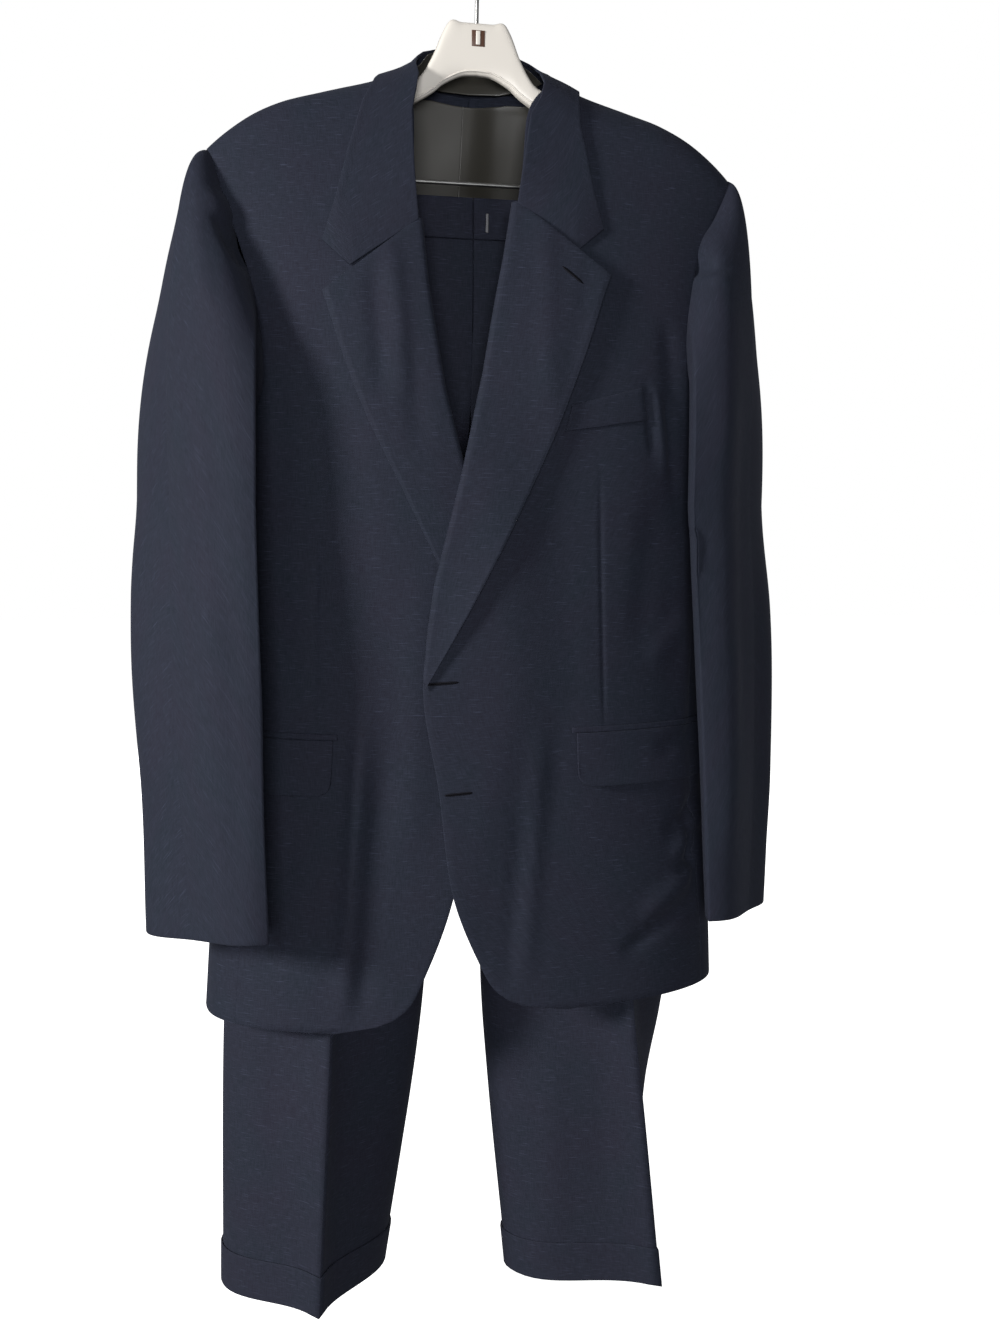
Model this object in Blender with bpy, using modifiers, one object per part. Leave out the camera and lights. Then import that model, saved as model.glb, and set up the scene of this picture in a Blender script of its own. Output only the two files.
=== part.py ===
"""A two-piece suit, a single-breasted jacket over trousers with turn-ups, hung on a suit hanger.

Everything is worked out in millimetres and made in metres. X runs to the wearer's left, the front
faces -Y, and "drop" is how far a point hangs below the inside of the hook, which is the origin.
Side +1 is the wearer's left and side -1 the wearer's right. The left front laps over the right one.
"""

import math

import bpy
import numpy as np

MM = 0.001
GAP = 0.3  # between neighbouring pieces
JACKET_WALL = 2.0  # worsted with its canvas and lining
TROUSER_WALL = 1.4
LINING_WALL = 1.0
ACROSS = 2.4  # exponent of the body's rounded plan, where 2 would be an ellipse


class Table:
    """Rows of sizes with named columns. The first column is the one that the others are read by."""

    def __init__(self, names, *rows):
        self.names = names.split()
        self.rows = np.array(rows, float)

    def at(self, name, key):
        """The named column at key, on a smooth curve through the rows."""
        keys, values = self.rows[:, 0], self.rows[:, self.names.index(name)]
        slopes = np.gradient(values, keys)
        key = np.clip(key, keys[0], keys[-1])
        i = np.clip(np.searchsorted(keys, key) - 1, 0, len(keys) - 2)
        step = keys[i + 1] - keys[i]
        t = (key - keys[i]) / step
        rise = t * t * (3 - 2 * t)
        start = slopes[i] * step * t * (1 - t) ** 2
        end = slopes[i + 1] * step * t * t * (1 - t)
        return blend(values[i], values[i + 1], rise) + start - end


def blend(a, b, share):
    return a * (1 - share) + b * share


def ease(t):
    """A smooth step from 0 to 1."""
    t = np.clip(t, 0, 1)
    return t * t * (3 - 2 * t)


def unit(v):
    return v / np.maximum(np.linalg.norm(v, axis=-1, keepdims=True), 1e-9)


# ---------------------------------------------------------------- the body of the jacket

BODY = Table(
    "drop half_width front back",
    (100, 254, 62, 56),
    (220, 252, 70, 62),
    (330, 240, 88, 76),
    (450, 224, 98, 80),
    (560, 218, 97, 74),
    (660, 219, 97, 71),
    (760, 226, 100, 74),
    (860, 235, 101, 77),
    (970, 242, 102, 78),
)
RIDGE = Table(  # the line along the top of the shoulders
    "x drop",
    (0, 111),
    (40, 116),
    (72, 125),
    (98, 134),
    (140, 146),
    (170, 155),
    (205, 173),
    (237, 200),
    (252, 217),
)
TURN, TURN_SHARE = 26, 0.42  # the cloth turns over the shoulder in this drop
FALL = 230  # and reaches the body's full depth in this one
CENTRE = Table(  # the fronts hang a little to the wearer's right
    "drop x", (120, -5), (150, -11), (190, -15), (240, -19), (318, -25), (394, -27), (660, -28),
    (750, -31), (850, -34), (970, -32)
)
# Each row crosses a front from its edge to the armhole, or to the side seam below it. "edge" is
# how far the edge stands off the centre line, down the roll line, the front edge and the hem.
# "sag" is how far the row follows the shoulder's line instead of running straight.
FRONT = Table(
    "row edge edge_drop outer outer_drop sag",
    (0, 72, 125, 237, 200, 1.0),
    (1, 52, 153, 222, 238, 0.7),
    (2, 47, 215, 205, 280, 0.3),
    (3, 36, 300, 192, 335, 0.0),
    (4, 20, 394, 190, 392, 0.0),
    (5, 0, 478, 206, 452, 0.0),
    (6, -22, 568, 200, 560, 0.0),
    (7, -34, 660, 199, 660, 0.0),
    (8, -17, 753, 203, 753, 0.0),
    (9, 0, 850, 211, 850, 0.0),
    (10, 26, 918, 216, 912, 0.0),
    (11, 42, 944, 218, 941, 0.0),
    (12, 66, 957, 219, 954, 0.0),
    (13, 104, 963, 219, 961, 0.0),
)
BACK = Table(  # "edge" is the vent's opening
    "row edge edge_drop outer outer_drop sag",
    (0, 0, 133, 237, 200, 1.0),
    (1, 0, 158, 224, 238, 0.7),
    (2, 0, 215, 213, 280, 0.3),
    (3, 0, 290, 205, 335, 0.0),
    (4, 0, 370, 203, 392, 0.0),
    (5, 0, 450, 206, 452, 0.0),
    (6, 0, 560, 200, 560, 0.0),
    (7, 0, 670, 199, 660, 0.0),
    (8, 1, 762, 203, 753, 0.0),
    (9, 14, 840, 211, 850, 0.0),
    (10, 27, 905, 216, 912, 0.0),
    (11, 33, 935, 218, 941, 0.0),
    (12, 36, 950, 219, 954, 0.0),
    (13, 38, 957, 219, 961, 0.0),
)
ARMHOLE_ROWS = 5  # the first rows of FRONT and BACK end at the armhole
ARMHOLE_SHIFT = {-1: 8, 1: -9}  # each armhole's front is pulled a little the same way
UNDERARM_DIP = 9
HEM_DROP = {-1: 4.0, 1: -9.0}  # how much lower each side's hem hangs
VENT_SHIFT = 8
LAP = Table(  # how far the left front stands off the right one
    "drop lift", (380, 0), (450, 6), (500, 8), (600, 8), (780, 7), (850, 4), (930, 1), (970, 0.5)
)


def ridge_y(x):
    return 4 - 10 * (x / 237) ** 2


def settled(x, drop):
    """How far the cloth has come, from 0 on the shoulder's ridge to 1 at the body's full depth."""
    under = np.maximum(drop - RIDGE.at("drop", np.abs(x)), 0)
    turned = np.sqrt(1 - (1 - np.minimum(under / TURN, 1)) ** 2)
    fallen = np.sin(np.pi / 2 * np.minimum(under / FALL, 1))
    return TURN_SHARE * turned + (1 - TURN_SHARE) * fallen


def body_point(x, drop, face):
    """A point on the body's inner surface. face is "front" or "back"."""
    reach = np.clip(np.abs(x) / BODY.at("half_width", drop), 0, 1)
    full = BODY.at(face, drop) * (1 - reach**ACROSS) ** (1 / ACROSS)
    if face == "front":
        full = -full
    y = blend(ridge_y(x), full, settled(x, drop))
    return np.stack([x + 0 * y, y, -drop + 0 * y], -1)


def side_angle(x, drop):
    """The angle round the body's plan, from 0 at the centre front to 90 degrees at the side."""
    reach = np.clip(np.abs(x) / BODY.at("half_width", drop), 0, 1)
    return np.arcsin(reach ** (ACROSS / 2))


def ring_point(side, angle, drop):
    """The same surface low down, by an angle that runs from the front through 90 to the back."""
    across, along = np.sin(angle), np.cos(angle)
    depth = np.where(along > 0, -BODY.at("front", drop), BODY.at("back", drop))
    x = side * BODY.at("half_width", drop) * np.abs(across) ** (2 / ACROSS)
    return np.stack([x, depth * np.abs(along) ** (2 / ACROSS), -drop + 0 * x], -1)


def edge_line(drop):
    """How far a front's edge stands off the centre line at this drop."""
    return np.interp(drop, FRONT.rows[:, 2], FRONT.rows[:, 1])


def front_point(side, x, drop):
    """A point on a front's inner surface, with the lap of the left front over the right."""
    point = body_point(x, drop, "front")
    if side > 0:
        under_edge = CENTRE.at("x", drop) - edge_line(drop)
        point[..., 1] -= LAP.at("lift", drop) * (1 - ease((x - under_edge - 6) / 70))
    return point


def outward(surface, a, b, away):
    """Unit normals of surface(a, b), to the side that away points to."""
    here = surface(a, b)
    normal = unit(np.cross(surface(a + 0.2, b) - here, surface(a, b + 0.8) - here))
    return normal * np.sign((normal * away).sum(-1, keepdims=True))


FRONTWARD, BACKWARD = np.array([0, -1, 0.2]), np.array([0, 1, 0.2])


def panel_lines(table, side, rows, face):
    """Edge and outer ends, as x and drop, of the lines that cross a panel."""
    edge_drop, outer_drop = table.at("edge_drop", rows), table.at("outer_drop", rows)
    low = ease((outer_drop - 500) / 450) * HEM_DROP[side]
    outer_x = side * table.at("outer", rows)
    if face == "front":
        pulled = ease(rows / 2) * (1 - ease((rows - 3) / 2))
        outer_x += side * ARMHOLE_SHIFT[side] * pulled
        edge_x = CENTRE.at("x", edge_drop) + side * table.at("edge", rows)
        edge_x = np.where(rows == 0, side * table.at("edge", rows), edge_x)
    else:
        opened = table.at("edge", rows)
        edge_x = side * (opened + GAP / 2) + VENT_SHIFT * ease(opened / 30)
    return edge_x, edge_drop + low, outer_x, outer_drop + low


def shoulder_line(x, face):
    """Drop of a panel's top edge: the ridge, and across the back the neckline too."""
    over = RIDGE.at("drop", np.abs(x))
    if face == "front":
        return over
    return np.maximum(over, blend(133, 125, ease(np.abs(x) / 72)))


def panel(table, side, rows, columns, face):
    """Inner points and normals of a panel, a line for each row and a column for each share."""
    edge_x, edge_drop, outer_x, outer_drop = panel_lines(table, side, rows, face)
    share = columns + 0.12 * np.sin(np.pi * columns)
    x = blend(edge_x[:, None], outer_x[:, None], share)
    drop = blend(edge_drop[:, None], outer_drop[:, None], share)
    top = shoulder_line(x, face)
    chord = blend(top[:, :1], top[:, -1:], share)
    drop = drop + table.at("sag", rows)[:, None] * (top - chord)
    if face == "front":
        points = front_point(side, x, drop)
        normals = outward(lambda a, b: body_point(a, b, "front"), x, drop, FRONTWARD)
    else:
        points = body_point(x, drop, "back")
        normals = outward(lambda a, b: body_point(a, b, "back"), x, drop, BACKWARD)
    return points, normals


def side_panel(side, rows, columns):
    """Inner points and normals of the side panel, between the front's and the back's side seams."""
    drop = FRONT.at("outer_drop", rows)
    drop = drop + ease((drop - 500) / 450) * HEM_DROP[side]
    start = side_angle(FRONT.at("outer", rows), drop)[:, None]
    angle = blend(start, np.pi - start, columns)
    dip = UNDERARM_DIP * np.sin(np.pi * columns) * (1 - ease(rows - ARMHOLE_ROWS))[:, None]
    drop = drop[:, None] + dip
    away = np.array([side, 0, 0])
    return ring_point(side, angle, drop), outward(
        lambda a, b: ring_point(side, a * 0.02, b), angle / 0.02, drop, away
    )


# ---------------------------------------------------------------- the sleeves

# Plan of a hanging sleeve at each drop: its front and back edges, and how far it bulges between
# them on the outer and inner sides. x counts outwards.
SLEEVE_COLUMNS = "drop front_x front_y back_x back_y out inner"
SLEEVES = {
    -1: Table(
        SLEEVE_COLUMNS,
        (500, 206, -126, 292, 42, 30, 12),
        (640, 203, -138, 300, 12, 27, 15),
        (760, 201, -141, 296, -10, 22, 13),
        (880, 197, -140, 294, -28, 18, 12),
    ),
    1: Table(
        SLEEVE_COLUMNS,
        (500, 175, -114, 290, 46, 28, 3),
        (640, 183, -122, 294, 18, 24, 12),
        (760, 193, -119, 292, 0, 21, 10),
        (886, 206, -106, 294, 2, 17, 9),
    ),
}
CUFF_TILT = {-1: 12, 1: 8}  # how much the cuff's front edge rises


def bezier(a, b, c, d, t):
    t = t[..., None]
    return a * (1 - t) ** 3 + 3 * b * t * (1 - t) ** 2 + 3 * c * t * t * (1 - t) + d * t**3


def corner_curve(start, end, leaving, arriving, t, pull=0.42):
    """A curve in plan from one corner of a section to the next."""
    reach = pull * np.linalg.norm(end - start, axis=-1, keepdims=True)
    return bezier(start, start + reach * leaving, end - reach * arriving, end, t)


def sleeve_plan(side, turn, drop):
    """A hanging sleeve's section. turn is 0 outside, 1/4 at the front edge, 1/2 inside, 3/4 back."""
    rows = SLEEVES[side]
    size = {name: rows.at(name, drop) for name in rows.names[1:]}
    front = np.stack([size["front_x"], size["front_y"]], -1)
    back = np.stack([size["back_x"], size["back_y"]], -1)
    along = unit(back - front)
    out = np.stack([along[..., 1], -along[..., 0]], -1)
    outer = blend(front, back, 0.5) + size["out"][..., None] * out
    inner = blend(front, back, 0.5) - size["inner"][..., None] * out
    corners = (outer, front, inner, back, outer)
    arriving = (-along, unit(-0.6 * along - out), along, unit(0.6 * along + out), -along)
    leaving = (-along, unit(0.8 * along - 0.6 * out), along, unit(out - 0.6 * along))
    turn = np.mod(turn, 1)
    point = np.zeros(turn.shape + (2,))
    for k in range(4):
        t = np.clip(turn * 4 - k, 0, 1)
        here = (turn * 4 >= k) & (turn * 4 < k + 1)
        piece = corner_curve(corners[k], corners[k + 1], leaving[k], arriving[k + 1], t)
        point = np.where(here[..., None], piece, point)
    forward = 0.5 + 0.5 * np.sin(2 * np.pi * turn)
    rise = CUFF_TILT[side] * forward * ease((drop - 500) / 380)
    return np.stack([side * point[..., 0], point[..., 1], rise - drop], -1)


def armhole(side, front_rows, shares):
    """The armhole's edge on the panels' outer faces, from the shoulder round by the front.

    It comes with each point's turn round the sleeve.
    """
    ring = []
    for table, face in ((FRONT, "front"), (BACK, "back")):
        points, normals = panel(table, side, front_rows, np.array([0.0, 1.0]), face)
        ring.append((points + (JACKET_WALL + 2 * GAP) * normals)[:, -1])
    points, normals = side_panel(side, np.array([float(ARMHOLE_ROWS)]), shares)
    below = (points + (JACKET_WALL + 4 * GAP) * normals)[0, 1:-1]
    top = blend(ring[0][:1], ring[1][:1], 0.5)
    loop = np.concatenate([top, ring[0][1:], below, ring[1][:0:-1]])
    loop[:, 0] += side * 5 * GAP
    front_turns = np.interp(front_rows, [0, 3, ARMHOLE_ROWS], [0, 0.25, 0.42])
    under_turns = blend(0.42, 0.58, shares[1:-1])
    turns = np.concatenate([front_turns, under_turns, 1 - front_turns[:0:-1]])
    return loop, turns


def sleeve_grid(side, start, turns, rows):
    """A sleeve's outer points. A row from 0 to 1 is on the cap, and a larger one is a drop."""
    first = sleeve_plan(side, turns, np.full(turns.shape, SLEEVES[side].rows[0, 0]))
    knee = first.copy()
    knee[:, 2] = start[:, 2]
    grid = []
    for row in rows:
        if row > 1:
            grid.append(sleeve_plan(side, turns, np.full(turns.shape, float(row))))
        else:
            grid.append(start * (1 - row) ** 2 + 2 * knee * row * (1 - row) + first * row**2)
    return np.array(grid)


# ---------------------------------------------------------------- the trousers

# Plan of each half of the trousers at each drop: the front crease, the inner corner, the back
# crease and the outer seam. "apart" parts the front's inner corner from the back's above the
# crotch, and "fold" is 0 where the cloth hangs flat and 1 where the leg is a creased tube.
LEG_COLUMNS = "drop crease_x crease_y inner_x inner_y back_x back_y outer_x outer_y apart fold"
LEGS = {
    -1: Table(
        LEG_COLUMNS,
        (227, -103, -5.5, -3.2, 0, -103, 5.5, -202, 0, 4.5, 0),
        (330, -108, -17, -3.2, 2, -108, 24, -206, 2, 13, 0),
        (430, -113, -29, -5, 4, -112, 38, -208, 4, 14, 0.1),
        (510, -117, -42, -12, 6, -114, 46, -207, 6, 3, 0.6),
        (560, -119, -48, -17, 8, -116, 48, -207, 8, 0, 0.9),
        (740, -128, -64, -28, 12, -130, 54, -214, 6, 0, 1),
        (985, -139, -80, -42, 14, -150, 60, -226, 4, 0, 1),
        (1235, -149, -83, -74, 30, -160, 78, -228, 2, 0, 1),
    ),
    1: Table(
        LEG_COLUMNS,
        (227, 103, -5.5, -2.2, 0, 103, 5.5, 202, 0, 4.5, 0),
        (330, 108, -17, -2.2, 2, 108, 24, 206, 2, 13, 0),
        (430, 113, -29, -2.5, 4, 112, 38, 208, 4, 14, 0.1),
        (510, 118, -42, 10, 6, 114, 46, 207, 6, 3, 0.6),
        (560, 120, -49, 13, 7, 114, 50, 206, 7, 0, 0.9),
        (740, 130, -68, 17, 4, 112, 60, 206, 8, 0, 1),
        (985, 145, -84, 20, -6, 110, 62, 196, 14, 0, 1),
        (1060, 156, -81, 27, -10, 110, 66, 180, 18, 0, 1),
        (1243, 179, -76, 49, -15, 110, 82, 170, 28, 0, 1),
    ),
}
CREASE_PINCH = 0.5  # how nearly the faces beside a crease lie together, from 0 to 1
CROTCH = 545
WAISTBAND = (227, 264)
TURN_UP = 38


def leg_plan(side, turn, drop):
    """A section of one half. turn is 0 at the crease, 1/4 inside, 1/2 at the back, 3/4 outside."""
    rows = LEGS[side]
    size = {name: rows.at(name, drop)[..., None] for name in rows.names[1:]}
    crease, inner, back, outer = (
        np.concatenate([size[name + "_x"], size[name + "_y"]], -1)
        for name in ("crease", "inner", "back", "outer")
    )
    shift = np.concatenate([0 * size["apart"], np.maximum(size["apart"], 0)], -1)
    along = unit(back - crease)
    pairs = (
        (crease, inner - shift, CREASE_PINCH, 1, 1),
        (inner + shift, back, 1, CREASE_PINCH, 1),
        (back, outer, CREASE_PINCH, 1, -1),
        (outer, crease, 1, CREASE_PINCH, -1),
    )
    point = np.zeros(turn.shape + (2,))
    for k, (start, end, leave, arrive, sign) in enumerate(pairs):
        t = np.clip(turn * 4 - k, 0, 1)
        straight = unit(end - start)
        leaving = unit(blend(straight, sign * along, leave * size["fold"]))
        arriving = unit(blend(straight, sign * along, arrive * size["fold"]))
        piece = corner_curve(start, end, leaving, arriving, t, 0.36)
        here = (turn * 4 > k) | (k == 0)
        point = np.where(here[..., None], piece, point)
    return np.stack([point[..., 0], point[..., 1], -drop], -1)


def leg_halves(side, drops, quarter):
    """Front and back points, and their normals, from the outer seam to the inner one."""
    step = np.linspace(0, 0.25, quarter + 1)
    front_turns = np.concatenate([0.75 + step[:-1], step])
    front_turns[front_turns == 0.75] += 1e-9
    back_turns = np.concatenate([0.75 - step[:-1], 0.5 - step])
    back_turns[back_turns == 0.25] += 1e-9
    halves = []
    for turns, face in ((front_turns, -1), (back_turns, 1)):
        grid = leg_plan(side, turns[None] + 0 * drops[:, None], drops[:, None] + 0 * turns[None])
        normals = grid_normals(grid)
        halves.append([grid, normals * np.sign(normals[..., 1].sum() * face)])
    for column in (0, -1):
        shared = unit(halves[0][1][:, column] + halves[1][1][:, column])
        joined = (drops > CROTCH)[:, None] if column else np.full((len(drops), 1), True)
        for half in halves:
            half[1][:, column] = np.where(joined, shared, half[1][:, column])
    return halves


# ---------------------------------------------------------------- making the pieces


def new_material(name, colour, roughness, metallic=0.0):
    material = bpy.data.materials.new(name)
    material.use_nodes = True
    shader = material.node_tree.nodes["Principled BSDF"]
    shader.inputs["Base Color"].default_value = (*colour, 1)
    shader.inputs["Roughness"].default_value = roughness
    shader.inputs["Metallic"].default_value = metallic
    return material


for leftover in list(bpy.data.objects):
    bpy.data.objects.remove(leftover)
suit = bpy.data.collections.new("two_piece_suit")
cutters = bpy.data.collections.new("cutters")
for collection in (suit, cutters):
    bpy.context.scene.collection.children.link(collection)

WORSTED = new_material("worsted", (0.033, 0.037, 0.056), 0.85)
TROUSER_CLOTH = new_material("trouser_worsted", (0.03, 0.034, 0.052), 0.85)
LINING = new_material("lining", (0.04, 0.039, 0.034), 0.45)
IVORY = new_material("ivory_plastic", (0.8, 0.76, 0.7), 0.4)
STEEL = new_material("bright_steel", (0.6, 0.6, 0.6), 0.25, 1.0)
BROWN = new_material("brown_plastic", (0.09, 0.04, 0.02), 0.5)
HORN = new_material("dark_button", (0.012, 0.013, 0.02), 0.35)

SIDE_NAMES = {-1: "right", 1: "left"}


def add(name, data, material, collection=suit):
    piece = bpy.data.objects.new(name, data)
    collection.objects.link(piece)
    if material:
        data.materials.append(material)
    return piece


def directions(grid, axis, closed=False):
    """The direction of the grid's lines at each point, midway between those of the steps beside it."""
    step = unit(np.diff(grid, axis=axis))
    if closed:
        step = unit(np.roll(grid, -1, axis=axis) - grid)
        return unit(step + np.roll(step, 1, axis=axis))
    first, last = np.take(step, [0], axis), np.take(step, [-1], axis)
    return unit(np.concatenate([first, step], axis) + np.concatenate([step, last], axis))


def grid_normals(grid, closed=False):
    """Unit normals of a grid, by its rows and columns."""
    return unit(np.cross(directions(grid, 1, closed), directions(grid, 0)))


def trim(grid, start=GAP / 2, end=GAP / 2):
    """The grid with its first and last columns drawn in, so that the seams stay open."""
    grid = grid.copy()
    grid[:, 0] += start * unit(grid[:, 1] - grid[:, 0])
    grid[:, -1] += end * unit(grid[:, -2] - grid[:, -1])
    return grid


def halved(points, numbers):
    """Two triangles for each square of a grid of point numbers, cut along the square's shorter diagonal."""
    corners = numbers[:-1, :-1], numbers[1:, :-1], numbers[1:, 1:], numbers[:-1, 1:]
    a, b, c, d = (corner.reshape(-1) for corner in corners)
    along = np.linalg.norm(points[a] - points[c], axis=1)
    short = (along <= np.linalg.norm(points[b] - points[d], axis=1))[:, None]
    one = np.where(short, np.stack([a, b, c], 1), np.stack([a, b, d], 1))
    two = np.where(short, np.stack([a, c, d], 1), np.stack([b, c, d], 1))
    return np.concatenate([one, two])


def cloth(name, inside, outside, material=WORSTED, closed=False):
    """A wall of cloth between two grids, cut alike on both. closed joins the last column to the first."""
    rows, columns = inside.shape[:2]
    points = np.concatenate([inside.reshape(-1, 3), outside.reshape(-1, 3)])
    count = rows * columns
    numbers = np.arange(count).reshape(rows, columns)
    if closed:
        numbers = np.concatenate([numbers, numbers[:, :1]], axis=1)
    inner = halved(points, numbers)
    rims = [numbers[0], numbers[-1, ::-1]]
    if not closed:
        rims += [numbers[::-1, 0], numbers[:, -1]]
    faces = [inner, inner[:, ::-1] + count]
    for rim in rims:
        a, b = rim[:-1], rim[1:]
        faces += [np.stack([a, b, b + count], 1), np.stack([a, b + count, a + count], 1)]
    faces = np.concatenate(faces)
    across, down = inside[0, 1] - inside[0, 0], inside[1, 0] - inside[0, 0]
    if np.dot(np.cross(down, across), outside[0, 0] - inside[0, 0]) > 0:
        faces = faces[:, ::-1]
    mesh = bpy.data.meshes.new(name)
    mesh.from_pydata((points * MM).tolist(), [], faces.tolist())
    mesh.validate()
    return add(name, mesh, material)


# Fronts, backs and side panels. The rows close to the shoulder follow its turn.
front_rows = np.array([0, 0.14, 0.5, 1, 1.5, 2, 3, 4, 5, 6, 7, 8, 9, 10, 11, 12, 13])
armhole_rows = front_rows[front_rows <= ARMHOLE_ROWS]
side_rows = front_rows[front_rows >= ARMHOLE_ROWS]
FRONT_SHARES = np.linspace(0, 1, 9)
BACK_SHARES = np.linspace(0, 1, 8)
SIDE_SHARES = np.linspace(0, 1, 6)

for side, word in SIDE_NAMES.items():
    for table, face, shares, toward in (
        (FRONT, "front", FRONT_SHARES, -1),
        (BACK, "back", BACK_SHARES, 1),
    ):
        points, normals = panel(table, side, front_rows, shares, face)
        points[0, :, 1] += toward * 2 * GAP
        points = trim(points, start=0)
        cloth(f"jacket_{face}_{word}", points, points + JACKET_WALL * normals)
    points, normals = side_panel(side, side_rows, SIDE_SHARES)
    points = trim(points)
    cloth(f"jacket_side_{word}", points, points + JACKET_WALL * normals)

# Two-piece sleeves: the top sleeve covers the outside, the under sleeve the inside.
SLEEVE_SEAM = 7  # columns from the shoulder to each seam
sleeve_rows = [0, 0.1, 0.25, 0.45, 0.7, 1, 570, 640, 720, 800]
for side, word in SIDE_NAMES.items():
    start, turns = armhole(side, armhole_rows, SIDE_SHARES)
    grid = sleeve_grid(side, start, turns, sleeve_rows + [SLEEVES[side].rows[-1, 0]])
    normals = grid_normals(grid, closed=True)
    normals *= np.sign(normals[4, 0, 0] * side)
    columns = len(turns)
    top = np.arange(-SLEEVE_SEAM, SLEEVE_SEAM + 1)
    under = np.arange(SLEEVE_SEAM, columns - SLEEVE_SEAM + 1)
    for part, chosen in (("top", top), ("under", under)):
        outside = trim(grid[:, chosen], GAP, GAP)
        inside = outside - JACKET_WALL * normals[:, chosen]
        cloth(f"sleeve_{part}_{word}", inside, outside)

# Trousers: a front and a back for each leg, a turn-up on each and the waistband in three parts.
leg_drops = np.array([WAISTBAND[1], 300, 360, 430, 500, 570, 660, 780, 900, 1010, 1110])
LEG_QUARTER = 5
waist_drops = np.array([WAISTBAND[0], 245, WAISTBAND[1] - GAP])
bands = {}
for side, word in SIDE_NAMES.items():
    hem = LEGS[side].rows[-1, 0]
    for part, (points, normals) in zip(
        ("front", "back"), leg_halves(side, np.append(leg_drops, [hem - TURN_UP, hem]), LEG_QUARTER)
    ):
        points = trim(points)
        cloth(f"trouser_{part}_{word}", points, points + TROUSER_WALL * normals, TROUSER_CLOTH)
    bands[side] = leg_halves(side, waist_drops, 3)
    points, normals = bands[side][0]
    points = trim(points)
    cloth(f"waistband_front_{word}", points, points + 2.6 * normals, TROUSER_CLOTH)

    front, back = leg_halves(side, np.array([hem - TURN_UP, hem + 0.8]), LEG_QUARTER)
    points = np.concatenate([front[0], back[0][:, -2:0:-1]], axis=1)
    normals = np.concatenate([front[1], back[1][:, -2:0:-1]], axis=1)
    inside = points + (TROUSER_WALL + 2 * GAP) * normals
    cloth(f"turn_up_{word}", inside, inside + TROUSER_WALL * normals, TROUSER_CLOTH, closed=True)

points = np.concatenate([bands[-1][1][0], bands[1][1][0][:, -2::-1]], axis=1)
normals = np.concatenate([bands[-1][1][1], bands[1][1][1][:, -2::-1]], axis=1)
points = trim(points)
cloth("waistband_back", points, points + 2.6 * normals, TROUSER_CLOTH)

# ---------------------------------------------------------------- collar and lapels

LAPEL_EDGE = Table(  # off the centre line, from above the tip down to the end of the roll
    "drop out",
    (295, 131),
    (322, 121),
    (368, 106),
    (430, 82),
    (489, 54),
    (557, 20),
    (610, -7),
    (659, -33),
)
LAPEL_TOP = 311
LAPEL_WIDER = 3.5  # how much wider the left lapel shows than the mean, and the right one narrower
LOPSIDED = Table("drop higher", (140, 0), (260, 10), (330, 11), (480, 0))  # the left over the mean
GORGE_DROP = 250  # of the gorge seam's inner end, on the roll line
ROLL_END = 654
NOTCH_OUT, NOTCH_DROP = 99, 290
COLLAR_TIP_OUT, COLLAR_TIP_DROP = 123, 269
OFF = JACKET_WALL + 2 * GAP  # of a piece that lies on a panel, from the panel's inner surface


def off_front(side, out, drop, off):
    """Points and normals off a front, by how far they stand off the centre line."""
    drop = drop - side * LOPSIDED.at("higher", drop)
    x = CENTRE.at("x", drop) + side * out
    normal = outward(lambda a, b: body_point(a, b, "front"), x, drop, FRONTWARD)
    point = front_point(side, x, drop)
    point[..., 1] -= off
    return point, normal


lapel_steps = np.linspace(0, 1, 8)[:, None]
LAPEL_SHARES = np.linspace(0, 1, 6)
for side, word in SIDE_NAMES.items():
    roll_drop = blend(GORGE_DROP + 1.2, ROLL_END, lapel_steps)
    out_drop = blend(LAPEL_TOP, LAPEL_EDGE.rows[-1, 0], lapel_steps)
    widest = LAPEL_EDGE.at("out", out_drop) + side * LAPEL_WIDER * (1 - lapel_steps)
    drop = blend(roll_drop, out_drop, LAPEL_SHARES)
    out = blend(edge_line(roll_drop) + 0.4, widest, LAPEL_SHARES)
    belly = np.sin(np.pi * LAPEL_SHARES) * 2.5 * (1 - lapel_steps) + LAPEL_SHARES * 0.6
    points, normals = off_front(side, out, drop, OFF + 0.5 + belly)
    cloth(f"lapel_{word}", points, points + JACKET_WALL * normals)

# The collar's fold, from the centre back round to the front, and where its outer edge lies on
# the panels. From RIDGE_STATION on it lies on the front.
COLLAR = Table(
    "station fold_x fold_y fold_drop edge_x edge_drop off",
    (0, 0, 41, 86, 0, 140, 4.0),
    (1, 24, 37, 88, 38, 141, 4.0),
    (2, 43, 22, 97, 72, 140, 4.4),
    (2.5, 50, 12, 104, 81, 135, 5.4),
    (3, 54, 2, 111, 88, 130, 5.0),
    (3.4, 56, -8, 119, 92, 138, 5.6),
    (4, 56, -19, 132, 96, 156, 5.6),
    (4.5, 55, -28, 146, 100, 174, 5.4),
    (5, 52, -38, 162, 105, 193, 5.0),
    (6, 48, -54, 205, 114, 235, 4.0),
)
RIDGE_STATION = 3
COLLAR_SHARES = np.array([0, 0.12, 0.4, 0.65, 0.85, 1])


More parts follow.
